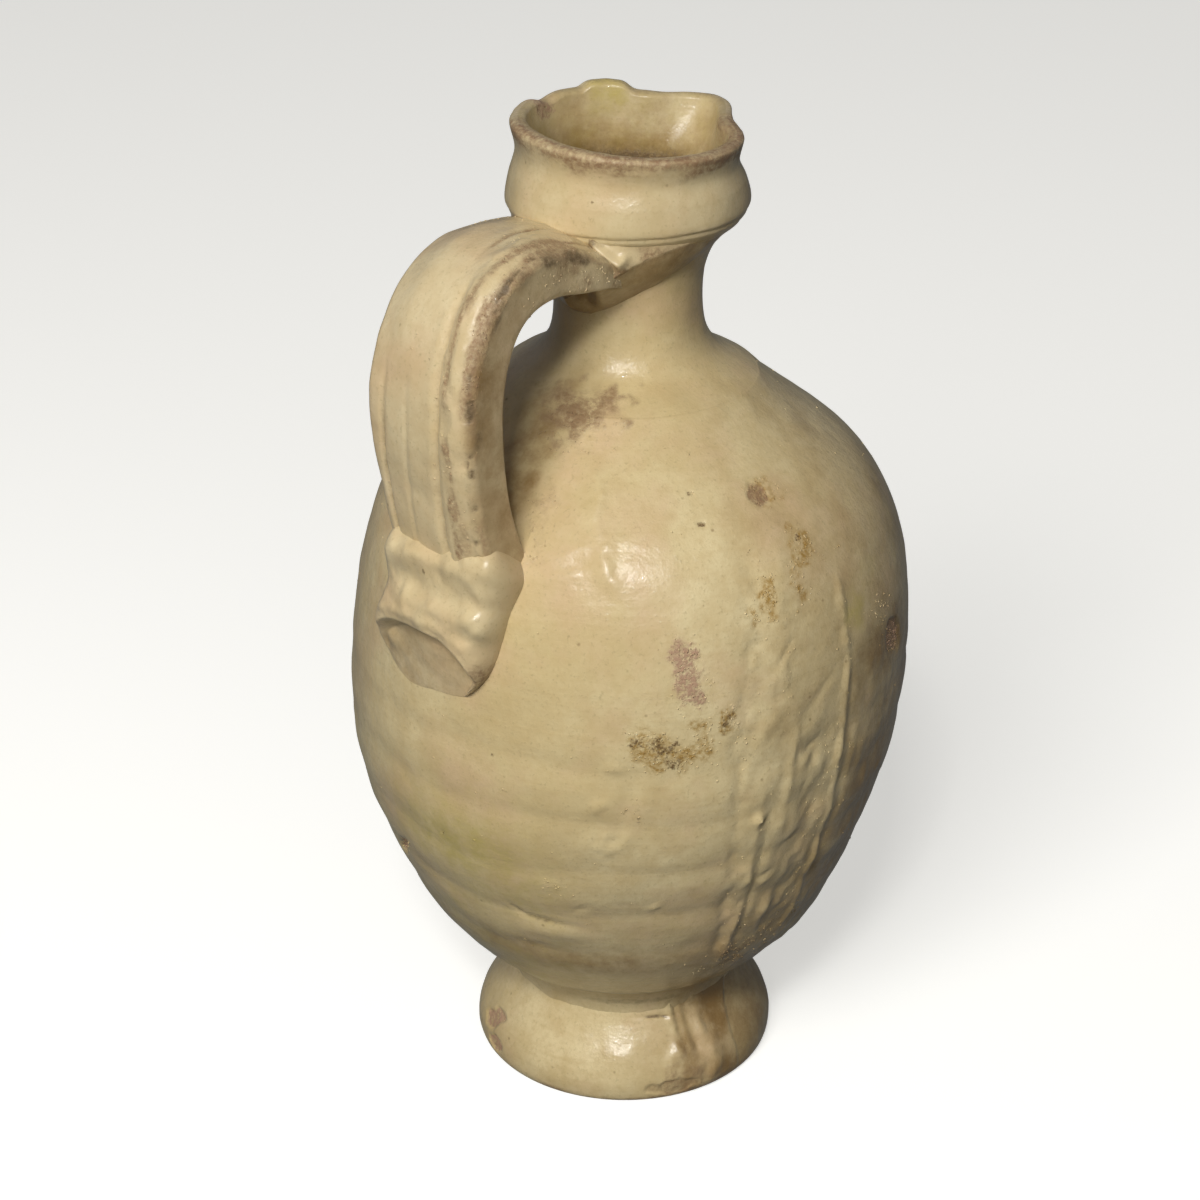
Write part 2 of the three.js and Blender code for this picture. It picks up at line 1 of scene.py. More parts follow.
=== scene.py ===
"""Looks of a wheel-thrown oil cruet: cream lead glaze over red-bodied earthenware, worn and stained by use.

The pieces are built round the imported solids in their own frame: +Z up, the foot's centre at the origin, the
handle at -X and the pouring lip at +X. Shapes are worked out in millimetres and written in metres. A place on
the wall is a turn, in degrees from the handle towards -Y, and a height above the table.
"""

import functools
import math

import bpy
import numpy as np
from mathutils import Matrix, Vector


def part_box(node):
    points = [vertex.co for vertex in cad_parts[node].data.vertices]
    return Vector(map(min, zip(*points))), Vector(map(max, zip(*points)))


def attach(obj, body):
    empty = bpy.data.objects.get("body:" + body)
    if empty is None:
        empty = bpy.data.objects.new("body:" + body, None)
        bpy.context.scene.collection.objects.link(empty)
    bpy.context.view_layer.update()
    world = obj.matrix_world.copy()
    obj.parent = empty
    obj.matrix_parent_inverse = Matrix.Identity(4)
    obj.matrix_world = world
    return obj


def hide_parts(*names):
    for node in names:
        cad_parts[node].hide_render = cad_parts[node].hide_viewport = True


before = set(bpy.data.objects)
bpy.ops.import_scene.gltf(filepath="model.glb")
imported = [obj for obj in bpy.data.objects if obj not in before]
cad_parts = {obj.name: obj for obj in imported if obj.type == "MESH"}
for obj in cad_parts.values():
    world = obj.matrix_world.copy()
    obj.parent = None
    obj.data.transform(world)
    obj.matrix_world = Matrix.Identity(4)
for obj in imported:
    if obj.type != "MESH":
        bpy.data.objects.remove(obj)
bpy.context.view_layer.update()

MM = 0.001
SEED = 7


def low(node):
    return np.array(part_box(node)[0]) / MM


def high(node):
    return np.array(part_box(node)[1]) / MM


# Joints and main radii, taken from the solids
FOOT_RADIUS = high("foot")[0]
BOWL_FLOOR = low("lower_bowl")[2]
BODY_JOINT = high("lower_bowl")[2]
NECK_FOOT = high("shoulder_dome")[2]
COLLAR_FOOT = high("neck")[2]
BELLY_RADIUS = high("lower_bowl")[0]
STRAP_HALF_WIDTH = high("handle_strap")[1]

# Sizes of the wall's line, as the solids have them
WALL = 5.5
FOOT_EDGE = 3
FOOT_EDGE_ROUND = 1.5
FOOT_WAIST_RADIUS = 29
FOOT_SWEEP = 9
FOOT_HOLLOW = 0.35
COIL_LOW = BOWL_FLOOR - 6.5
COIL_HIGH = BOWL_FLOOR + 4.5
BOWL_FLAT_RADIUS = 18
BOWL_BASE_SWEEP = 27
BOWL_SIDE_SWEEP = 44.5
BELLY = BOWL_FLOOR + 84
SHOULDER_SIDE_SWEEP = 59
SHOULDER_TOP_SWEEP = 20
NECK_FOOT_RADIUS = 30.8
NECK_RADIUS = 17.5
NECK_WAIST = NECK_FOOT + 19
NECK_FOOT_SWEEP_IN = 6.5
NECK_FOOT_SWEEP_UP = 4.5
NECK_WAIST_SWEEP = 14.5
FLARE_SWEEP = 3
COLLAR_FOOT_RADIUS = 26.2
BEAD_RADIUS = 28.5
BEAD_RISE = 4.6
COLLAR_WAIST_RADIUS = 26
COLLAR_WAIST_RISE = 14.6
RIM_RADIUS = 27.1
RIM = COLLAR_FOOT + 21.5
RIM_WALL = 4
RIM_ROUND = 1.2

# The camera's turn round the vessel, where the mesh is finest
FRONT_TURN = 41
FRONT_CROWDING = 20

PAINTS = ("pool", "moss", "rust", "grime", "wear", "clay", "crust", "crease")


def smooth(start, end, value):
    share = np.clip((value - start) / (end - start), 0, 1)
    return share * share * (3 - 2 * share)


def hump(value):
    """One at zero, falling off evenly to both sides."""
    return np.exp(-np.square(value))


def stacked(*parts):
    return np.stack(np.broadcast_arrays(*parts), axis=-1)


def around(radius, turn, height):
    angle = np.radians(turn)
    return stacked(-radius * np.cos(angle), -radius * np.sin(angle), height)


LAYER_STEP = 7.3
GRIT = np.random.default_rng(SEED).uniform(-1.0, 1.0, (32, 32, 32))


def lumps(places, size, layer=0):
    """Smooth chance unevenness from -1 to 1, its lumps about one size across."""
    spot = np.asarray(places) / size + LAYER_STEP * layer
    cell = np.floor(spot).astype(int)
    part = spot - cell
    part = part * part * (3 - 2 * part)
    total = np.zeros(spot.shape[:-1])
    for corner in np.ndindex(2, 2, 2):
        weight = np.prod(np.where(corner, part, 1 - part), axis=-1)
        near = (cell + corner) % len(GRIT)
        total += weight * GRIT[near[..., 0], near[..., 1], near[..., 2]]
    return total


def bezier(start, lead, trail, end, steps=160):
    share = np.linspace(0, 1, steps)[:, None]
    rest = 1 - share
    start, lead, trail, end = (np.array(point, float) for point in (start, lead, trail, end))
    return rest**3 * start + 3 * rest**2 * share * lead + 3 * rest * share**2 * trail + share**3 * end


def spline(points, steps=60):
    """A smooth line through every point given."""
    points = np.array(points, float)
    ends = np.vstack([2 * points[0] - points[1], points, 2 * points[-1] - points[-2]])
    stretches = []
    for before, start, end, after in zip(ends, ends[1:], ends[2:], ends[3:]):
        lead = start + (end - before) / 6
        trail = end - (after - start) / 6
        stretches.append(bezier(start, lead, trail, end, steps)[:-1])
    return np.vstack([*stretches, points[-1:]])


def resampled(line, count):
    """The same line with its points evenly spaced."""
    steps = np.linalg.norm(np.diff(line, axis=0), axis=1)
    along = np.concatenate([[0], np.cumsum(steps)])
    wanted = np.linspace(0, along[-1], count)
    return np.stack([np.interp(wanted, along, line[:, k]) for k in range(line.shape[1])], axis=1)


def squares(line):
    """The outward direction at each point of a rising line of radius and height."""
    along = np.gradient(line, axis=0)
    along /= np.linalg.norm(along, axis=1, keepdims=True) + 1e-12
    return np.stack([along[:, 1], -along[:, 0]], axis=1)


def stretch(line, start, end, count):
    """The part of a rising line between two heights, evenly spaced."""
    inside = line[(line[:, 1] > start) & (line[:, 1] < end)]
    first = [np.interp(start, line[:, 1], line[:, 0]), start]
    last = [np.interp(end, line[:, 1], line[:, 0]), end]
    return resampled(np.vstack([first, inside, last]), count)


BODY_LINE = np.vstack([
    bezier(
        (BOWL_FLAT_RADIUS, BOWL_FLOOR), (BOWL_FLAT_RADIUS + BOWL_BASE_SWEEP, BOWL_FLOOR),
        (BELLY_RADIUS, BELLY - BOWL_SIDE_SWEEP), (BELLY_RADIUS, BELLY),
    )[:-1],
    bezier(
        (BELLY_RADIUS, BELLY), (BELLY_RADIUS, BELLY + SHOULDER_SIDE_SWEEP),
        (NECK_FOOT_RADIUS + SHOULDER_TOP_SWEEP, NECK_FOOT - SHOULDER_TOP_SWEEP), (NECK_FOOT_RADIUS, NECK_FOOT),
    )[:-1],
    bezier(
        (NECK_FOOT_RADIUS, NECK_FOOT), (NECK_FOOT_RADIUS - NECK_FOOT_SWEEP_IN, NECK_FOOT + NECK_FOOT_SWEEP_UP),
        (NECK_RADIUS, NECK_WAIST - NECK_WAIST_SWEEP), (NECK_RADIUS, NECK_WAIST),
    )[:-1],
    bezier(
        (NECK_RADIUS, NECK_WAIST), (NECK_RADIUS, NECK_WAIST + NECK_WAIST_SWEEP),
        (COLLAR_FOOT_RADIUS - FLARE_SWEEP, COLLAR_FOOT - FLARE_SWEEP), (COLLAR_FOOT_RADIUS, COLLAR_FOOT),
    ),
])
COLLAR_LINE = spline([
    (COLLAR_FOOT_RADIUS, COLLAR_FOOT), (BEAD_RADIUS - 0.5, COLLAR_FOOT + BEAD_RISE / 2),
    (BEAD_RADIUS, COLLAR_FOOT + BEAD_RISE), (BEAD_RADIUS - 0.9, COLLAR_FOOT + 2 * BEAD_RISE),
    (COLLAR_WAIST_RADIUS, COLLAR_FOOT + COLLAR_WAIST_RISE), (RIM_RADIUS, RIM - RIM_ROUND),
])
WALL_LINE = np.vstack([BODY_LINE, COLLAR_LINE[1:]])
WALL_SQUARE = squares(WALL_LINE)


def wall_radius(height):
    return np.interp(height, WALL_LINE[:, 1], WALL_LINE[:, 0])


def wall_square(height):
    out = np.interp(height, WALL_LINE[:, 1], WALL_SQUARE[:, 0])
    rise = np.interp(height, WALL_LINE[:, 1], WALL_SQUARE[:, 1])
    length = np.hypot(out, rise)
    return out / length, rise / length


def turns_round(columns):
    """Turns once round the vessel, closer together towards the front."""
    turn = np.arange(columns) * 360 / columns
    return turn - FRONT_CROWDING * np.sin(np.radians(turn - FRONT_TURN))


class Wall:
    """A stretch of surface on the vessel: its places, how far clay and glaze lift it, and what marks it.

    A mark's place is its turn and its height, and its size is how wide and how tall it is, turned by its lean."""

    def __init__(self, turn, height, radius):
        self.turn, self.height, self.radius = np.broadcast_arrays(turn, height, radius)
        self.places = around(self.radius, self.turn, self.height)
        self.bearing = self.from_turn(0)
        self.lift = np.zeros(self.turn.shape)
        self.paints = {paint: np.zeros(self.turn.shape) for paint in PAINTS}

    def from_turn(self, turn):
        return (self.turn - turn + 180) % 360 - 180

    def lumps(self, size, layer):
        return lumps(self.places, size, layer)

    def raised(self, lift, out, rise):
        return around(self.radius + lift * out, self.turn, self.height + lift * rise)

    def offsets(self, turn, height, lean):
        across = np.radians(self.from_turn(turn)) * self.radius
        up = self.height - height
        cos, sin = math.cos(math.radians(lean)), math.sin(math.radians(lean))
        return across * cos + up * sin, up * cos - across * sin

    def swell(self, turn, height, wide, tall, lift, lean=0):
        along, side = self.offsets(turn, height, lean)
        self.lift += lift * hump(along / wide) * hump(side / tall)

    def blister(self, turn, height, wide, tall, lift):
        along, side = self.offsets(turn, height, 0)
        self.lift += lift * smooth(1.2, 0.5, np.hypot(along / wide, side / tall)) * self.lumps(2.2, 50)

    def run(self, start, end, width, lift, sway=0, soft=6, dirt=0.6):
        """A long ridge or valley between two places, each a turn and a height, with dirt along one side."""
        share = np.clip((self.height - start[1]) / (end[1] - start[1]), 0, 1)
        middle = start[0] + (end[0] - start[0]) * share + sway * np.sin(5 * share)
        side = np.radians(self.bearing - middle) * self.radius / width + 0.45 * self.lumps(7, 33)
        shown = smooth(start[1] - soft, start[1] + soft, self.height)
        shown = shown * smooth(end[1] + soft, end[1] - soft, self.height)
        shown = shown * (1 + 0.9 * self.lumps(4.5, 34) + 0.6 * self.lumps(2.2, 35))
        self.lift += lift * hump(side) * shown
        soiled = dirt * abs(lift) * hump(side - 0.8) ** 3 * shown
        self.mark("rust", soiled.clip(0, 0.7))

    def ragged(self, turn, height, wide, tall, lean, rough, layer):
        along, side = self.offsets(turn, height, lean)
        uneven = self.lumps(0.45 * min(wide, tall) + 0.8, layer)
        return np.hypot(along / wide, side / tall) + rough * uneven

    def mark(self, paint, level):
        self.paints[paint] = np.maximum(self.paints[paint], level)

    def stain(self, paint, turn, height, wide, tall, depth=1, lean=0, rough=0.35, layer=0):
        apart = self.ragged(turn, height, wide, tall, lean, rough, layer)
        self.mark(paint, depth * smooth(1.25, 0.25, apart))

    def chip(self, paint, turn, height, wide, tall, depth, lean=0, layer=3):
        lost = smooth(1.1, 0.75, self.ragged(turn, height, wide, tall, lean, 0.3, layer))
        self.lift -= depth * lost
        self.mark(paint, lost)


def run_glaze(wall):
    """Thick glaze that ran down the side away from the handle, and stood in folds."""
    run, swell = wall.run, wall.swell
    run((65, 52), (63, 118), width=1.7, lift=-0.42, sway=0.5)
    run((68, 50), (68.6, 102), width=1.2, lift=0.6, sway=0.4)
    run((70.8, 54), (70.4, 98), width=1.1, lift=-0.38)
    run((86.3, 54), (87.2, 112), width=1.1, lift=0.5, sway=0.3)
    run((87.2, 108), (88.6, 152), width=1.3, lift=0.4)
    run((89.6, 54), (89.6, 118), width=1.6, lift=-0.4)
    run((80, 56), (81.5, 118), width=4, lift=-0.5)
    run((63, 116), (67.5, 164), width=3, lift=-0.4, soft=10)
    run((68, 112), (74, 160), width=3, lift=0.3, soft=10)
    run((73.5, 98), (75, 124), width=1.3, lift=0.4)
    swell(79, 114.5, 2.4, 0.8, -0.5, lean=38)
    swell(78, 112.5, 2.6, 1.2, 0.3, lean=38)
    swell(72.5, 79.6, 2, 0.9, -0.55, lean=30)
    swell(73, 77.2, 2, 1.2, 0.25, lean=25)
    swell(77.5, 89, 2.6, 0.8, -0.5, lean=15)
    swell(75.8, 66, 1.7, 5, 0.85, lean=-8)
    swell(77.8, 64, 1.1, 4, -0.5, lean=-8)
    swell(80.5, 66, 1.2, 4, 0.4, lean=-6)
    swell(71.6, 140, 4, 0.8, -0.35, lean=50)
    swell(81, 128.5, 5, 1, -0.3, lean=42)
    swell(74, 127, 3, 3.5, 0.35)
    swell(68.2, 98.8, 1.6, 1.1, 0.9)
    swell(69.2, 97.6, 0.9, 0.7, -1.1)
    swell(67, 83.2, 1.1, 1, 0.5)
    swell(106.5, 95, 2.2, 1.4, 0.5)
    crowded = smooth(60, 70, wall.bearing) * smooth(118, 100, wall.bearing) * smooth(142, 116, wall.height)
    upright = wall.places * [1, 1, 0.55]
    wall.lift += 0.2 * crowded * (lumps(upright, 4.2, 47) + lumps(upright, 2.3, 48))


def press_marks(wall):
    """What fingers, the kiln and knocks left in the wall."""
    swell, blister, chip = wall.swell, wall.blister, wall.chip
    swell(23, 63.4, 9, 2, 0.45)
    swell(22.5, 67.6, 8, 0.75, -0.55, lean=-6)
    swell(16.6, 69.4, 2.4, 0.7, -0.5, lean=-38)
    swell(32, 73.6, 2.2, 0.8, -0.3, lean=30)
    swell(25, 81, 6, 2, 0.2)
    swell(48.2, 75, 2, 0.6, 0.5, lean=32)
    swell(18, 57, 5, 1.4, -0.35)
    swell(38.5, 117, 2.6, 2, 0.4)
    swell(36, 106.5, 2.4, 2.2, 0.4, lean=20)
    swell(37.2, 96, 3.4, 2.2, 0.45, lean=-25)
    swell(41, 97, 1.6, 2.6, 0.3, lean=-30)
    swell(41, 107, 2.2, 9, -0.3, lean=-14)
    blister(38.6, 117.2, 4.2, 2.2, 0.42)
    blister(35.8, 106.4, 2.8, 2.2, 0.42)
    blister(37.4, 96.2, 4.6, 3.6, 0.42)
    blister(33, 166, 9, 15, 0.12)
    wall.run((36.8, 156), (31.6, 178), width=2.4, lift=0.4, dirt=0)
    swell(27.5, 165, 8, 1.3, 0.3, lean=22)
    swell(26, 160, 7, 1.2, 0.25, lean=14)
    chip("clay", -20, 71.5, 6.5, 1.6, 0.9, lean=42)
    chip("clay", 107.5, 130, 6, 4, 0.8, lean=-48)
    chip("wear", 77.6, 171.8, 3, 2.2, 0.35)
    chip("crust", 58, 174.4, 0.9, 0.5, 0.2)
    chip("crust", 58.6, 169.2, 1.1, 0.7, 0.3)
    chip("crust", 1.2, 88.8, 0.8, 0.7, 0.3)


def stain_wall(wall):
    """Iron, dirt and pooled glaze on the body, and painted shade: darker down the right side, round the left edge, in
    a low band, towards the bottom and beside the strap.
    """
    stain, mark = wall.stain, wall.mark
    stain("crust", 46, 122.5, 6.5, 2.8, 1.05, lean=-12, rough=0.8, layer=1)
    stain("crust", 50, 118.2, 3.6, 2.4, 1, lean=-20, rough=0.8, layer=2)
    stain("crust", 60, 127.5, 2.2, 3.4, 0.8, rough=0.9, layer=3)
    stain("crust", 43.5, 103, 0.9, 1.8, 0.8, rough=0.4, layer=4)
    stain("crust", 40.8, 105.6, 1, 1.4, 0.7, rough=0.5, layer=5)
    stain("crust", 31.4, 128.8, 1.4, 0.8, 0.8, rough=0.5, layer=6)
    stain("crust", 24.5, 101, 0.6, 0.5, 0.9, layer=6)
    stain("crust", 13.8, 116, 0.9, 0.5, 0.9, layer=7)
    stain("crust", 14.2, 81.2, 0.8, 0.5, 0.7, layer=7)
    stain("rust", 48, 121.5, 11.5, 6.4, 1.25, lean=-15, rough=0.8, layer=8)
    stain("rust", 54.5, 126.5, 4.2, 2.8, 1.2, rough=0.7, layer=7)
    stain("rust", 59.5, 127, 2.6, 4, 1.3, rough=0.7, layer=6)
    stain("rust", 41.2, 121.8, 2.2, 1.2, 0.9, rough=0.6, layer=5)
    stain("rust", 52, 115.5, 2, 3.4, 0.8, rough=0.7, layer=4)
    stain("rust", 69.9, 153.4, 2.4, 6, 1.3, lean=-6, rough=0.7, layer=9)
    stain("rust", 65.9, 150.4, 1.7, 4.2, 1.1, lean=-8, rough=0.7, layer=10)
    stain("rust", 82.3, 161.9, 4.2, 4.2, 1.3, rough=0.8, layer=11)
    stain("crust", 81.8, 163, 1.2, 1, 1, rough=0.6, layer=11)
    stain("rust", 78.2, 154.2, 2.8, 6.4, 1.2, lean=-5, rough=0.8, layer=12)
    stain("rust", 86.7, 157.2, 1.8, 1.4, 1, rough=0.5, layer=12)
    stain("rust", 92.5, 158.2, 2.4, 1, 0.7, rough=0.5, layer=13)
    stain("rust", 79, 171.4, 6, 3.6, 1, rough=0.6, layer=14)
    stain("rust", 26, 81, 7, 2.6, 0.4, rough=0.6, layer=15)
    stain("rust", 37, 116.5, 1.6, 1.4, 0.5, rough=0.5, layer=16)
    stain("rust", 102, 139.5, 7, 3.4, 0.5, lean=-18, rough=0.6, layer=17)
    stain("moss", 92, 144, 5, 9, 0.8, rough=0.5, layer=18)
    stain("moss", -22, 75, 7, 3, 0.9, lean=42, layer=19)
    stain("moss", 100, 151, 8, 3, 0.4, rough=0.6, layer=20)
    stain("clay", 51.2, 139.8, 5.4, 9.4, 1, lean=6, rough=0.5, layer=21)
    stain("clay", 52.5, 133.8, 4.4, 3, 0.9, lean=-20, rough=0.6, layer=22)
    stain("grime", 17, 186.5, 11, 5, 1.35, lean=4, rough=0.6, layer=23)
    stain("grime", 5, 189.5, 10, 3.4, 0.7, rough=0.6, layer=24)
    stain("grime", 28, 189, 8, 3.2, 1.2, lean=12, rough=0.6, layer=25)
    stain("grime", 17.5, 170, 3.5, 11, 0.5, rough=0.7, layer=26)
    stain("grime", 10, 92, 2.4, 1.4, 0.35, rough=0.4, layer=27)
    stain("grime", 18, 57, 6, 2.2, 0.5, rough=0.5, layer=28)
    stain("grime", 71, 50, 13, 6, 0.85, rough=0.7, layer=29)
    stain("grime", 84, 55, 9, 5, 0.6, rough=0.7, layer=30)
    # The crease marks darken the dents and the pit that the swells press in: dirt in the crack and pit, and painted
    # shade.
    stain("crease", 22.5, 67.6, 8.5, 0.9, 0.7, lean=-6, rough=0.3, layer=31)
    stain("crease", 16.4, 69.6, 2.6, 0.8, 0.6, lean=-38, rough=0.3, layer=31)
    stain("crease", 69.2, 97.6, 1.2, 0.9, 0.9, rough=0.4, layer=32)
    turn, height = wall.bearing, wall.height
    ran = smooth(52, 74, turn) * smooth(160, 128, turn)
    right, left = smooth(168, 122, turn), smooth(-160, -90, turn)
    shade_patchiness = 1 + 0.6 * wall.lumps(14, 45)
    yellowing_and_shade_patchiness = 0.8 + 0.7 * wall.lumps(17, 49)
    mark("moss", 0.75 * yellowing_and_shade_patchiness * smooth(46, 6, turn) * left * smooth(120, 82, height))
    # Painted shade down the right side, browner, where the light falls off.
    mark("pool", 0.6 * yellowing_and_shade_patchiness * smooth(62, 88, turn) * right * smooth(156, 116, height))
    mark("pool", 0.85 * ran * smooth(96, 40, height))
    mark("pool", 0.4 * ran * (0.8 + 0.6 * wall.lumps(18, 44)))
    # Painted shade, patchy: a dark band low on the bowl, darker towards the bottom, down the right side and round the
    # left edge.
    mark("pool", 0.6 * shade_patchiness * hump((height - 53) / 8))
    mark("pool", 0.35 * shade_patchiness * smooth(70, 44, height))
    mark("pool", 0.95 * shade_patchiness * smooth(70, 108, turn) * right * smooth(152, 126, height))
    mark("pool", 0.45 * shade_patchiness * smooth(70, 110, turn) * right * smooth(184, 160, height))
    mark("pool", 0.55 * shade_patchiness * smooth(-12, -42, turn) * left * smooth(136, 116, height))
    # Painted shade beside the strap's root, where the strap shades the shoulder.
    stain("pool", 3, 172, 9, 24, 0.8, rough=0.4, layer=46)


def settle_glaze(wall):
    """The slight unevenness of a hand-dipped glaze, everywhere, on a bowl thrown a little lean below."""
    wall.lift -= 1.2 * hump((wall.height - 67) / 17)
    wall.lift += 0.2 * wall.lumps(15, 40) + 0.12 * wall.lumps(6, 41) + 0.05 * wall.lumps(2.6, 42)


def sway(places):
    """The thrown wall stands a little out of true, and what is luted to it goes with it."""
    height = places[..., 2]
    aside = 1.9 * hump((height - 146) / 36) - 0.8 * hump((height - 80) / 20)
    angle = math.radians(FRONT_TURN)
    moved = places.copy()
    moved[..., 0] += aside * math.sin(angle)
    moved[..., 1] -= aside * math.cos(angle)
    return moved


def wound(rows, columns, ends):
    """Faces over rows of points that go round: ends are capped by a middle point, or joined to each other."""
    here = np.arange(rows * columns).reshape(rows, columns)
    above = np.roll(here, -1, axis=0) if ends == "joined" else here[1:]
    below = here if ends == "joined" else here[:-1]
    quads = np.stack([below, np.roll(below, -1, 1), np.roll(above, -1, 1), above], axis=-1).reshape(-1, 4).tolist()
    if ends == "capped":
        first, last = rows * columns, rows * columns + 1
        ahead = np.roll(np.arange(columns), -1)
        top = (rows - 1) * columns
        quads += [(first, int(ahead[k]), k) for k in range(columns)]
        quads += [(last, top + k, top + int(ahead[k])) for k in range(columns)]
    return quads


SHARP_ANGLE = 55


def clay_mesh(name, places, faces, paints, glaze):
    mesh = bpy.data.meshes.new(name)
    mesh.from_pydata((places.reshape(-1, 3) * MM).tolist(), [], faces)
    for paint in PAINTS:
        attribute = mesh.attributes.new(paint, "FLOAT", "POINT")
        attribute.data.foreach_set("value", paints[paint].ravel().astype(np.float32))
    mesh.materials.append(glaze)
    mesh.polygons.foreach_set("use_smooth", np.ones(len(mesh.polygons), bool))
    mesh.set_sharp_from_angle(angle=math.radians(SHARP_ANGLE))
    mesh.update()
    piece = bpy.data.objects.new(name, mesh)
    bpy.context.scene.collection.objects.link(piece)
    return piece


def thrown(name, walls, ends, glaze):
    """One thrown member from its walls, from the bottom up the outside and down the inside."""
    places = sway(np.concatenate([wall.places for wall in walls]))
    paints = {paint: np.concatenate([wall.paints[paint] for wall in walls]) for paint in PAINTS}
    faces = wound(*places.shape[:2], ends)
    if ends == "capped":
        middles = [places[0].mean(0), places[-1].mean(0)]
        for paint, level in paints.items():
            paints[paint] = np.append(level, [level[0].mean(), level[-1].mean()])
        places = np.vstack([places.reshape(-1, 3), *middles])
    return clay_mesh(name, places, faces, paints, glaze)


def rings(line, turns):
    """Unmarked rings along a line of radius and height, in the line's own order."""
    line = np.array(line, float)
    return Wall(turns[None, :], line[:, 1:], line[:, :1])


def outside(start, end, turns, rows):
    """The weathered outer wall between two heights."""
    wall = rings(stretch(WALL_LINE, start, end, rows), turns)
    for work in (run_glaze, press_marks, stain_wall, settle_glaze):
        work(wall)
    wall.places = wall.raised(wall.lift, *wall_square(wall.height))
    return wall


INNER_LINE = WALL_LINE - WALL_SQUARE * WALL
INNER_FLOOR = INNER_LINE[40, 1]


def inside(start, end, turns, rows):
    """The plain inner wall between two heights, downwards."""
    return rings(stretch(INNER_LINE[INNER_LINE[:, 0] > 0.5], start, end, rows)[::-1], turns)


# Finishes


def linear(code):
    """The linear colour of an sRGB hex value."""
    channels = [int(code[k:k + 2], 16) / 255 for k in (1, 3, 5)]
    return [c / 12.92 if c <= 0.04045 else ((c + 0.055) / 1.055) ** 2.4 for c in channels] + [1]


def add(tree, kind, links=None, **settings):
    """A new node with its settings, values and links. A node given as a source stands for its first output in use."""
    made = tree.nodes.new(kind)
    for key, value in settings.items():
        setattr(made, key, value)
    for socket, source in (links or {}).items():
        if isinstance(source, bpy.types.Node):
            source = next(output for output in source.outputs if output.enabled)
        if isinstance(source, bpy.types.NodeSocket):
            tree.links.new(source, made.inputs[socket])
        else:
            made.inputs[socket].default_value = source
    return made


def shader_nodes(name):
    """A new material and the function that adds nodes to it."""
    material = bpy.data.materials.new(name)
    material.use_nodes = True
    material.node_tree.nodes.clear()
    return material, functools.partial(add, material.node_tree)


def per_mm(size):
    """The noise scale whose lumps are this many millimetres across."""
    return 1 / (size * MM)


# The kinds of node used most, and a colour mix's own sockets
MATH, VECTOR, NOISE = "ShaderNodeMath", "ShaderNodeVectorMath", "ShaderNodeTexNoise"
RANGE, MIX = "ShaderNodeMapRange", "ShaderNodeMix"
MIX_SHARE, MIX_FROM, MIX_TO = 0, 6, 7

# Each mark laid over the glaze: its colour, the grain of its edge, how ragged that is, and where it starts and is
# full. The pooled glaze, grime, crust and crease marks also carry painted shade.
MARKS = {
    "pool": ("#896B3D", 9, 0.35, 0.05, 1.30),
    "moss": ("#B7A55E", 5, 0.40, 0.10, 1.50),
    "rust": ("#9C7A3A", 1.5, 0.80, 0.25, 2.20),
    "grime": ("#8F7350", 3.2, 0.60, 0.10, 1.75),
    "wear": ("#8F7050", 1.3, 0.50, 0.10, 1.40),
    "clay": ("#AE8C70", 1.2, 0.72, 0.28, 1.20),
    "crust": ("#6F5530", 0.9, 0.85, 0.40, 1.60),
    "crease": ("#6A573C", 1.4, 0.40, 0.10, 1.30),
}
ROUGH_MARKS = ("grime", "wear", "clay", "crust")

FLUSH = "#CBAE86"
FLUSH_ASIDE = (0.3, 0.1, 0.2)
DUST = "#8F7B52"
IRON = "#7A6038"
GLOSS_SPREAD = 0.12
DULL_ROUGHNESS = 0.68
SKIN_DEPTH = 0.17
COAT_SKIN_DEPTH = 0.42


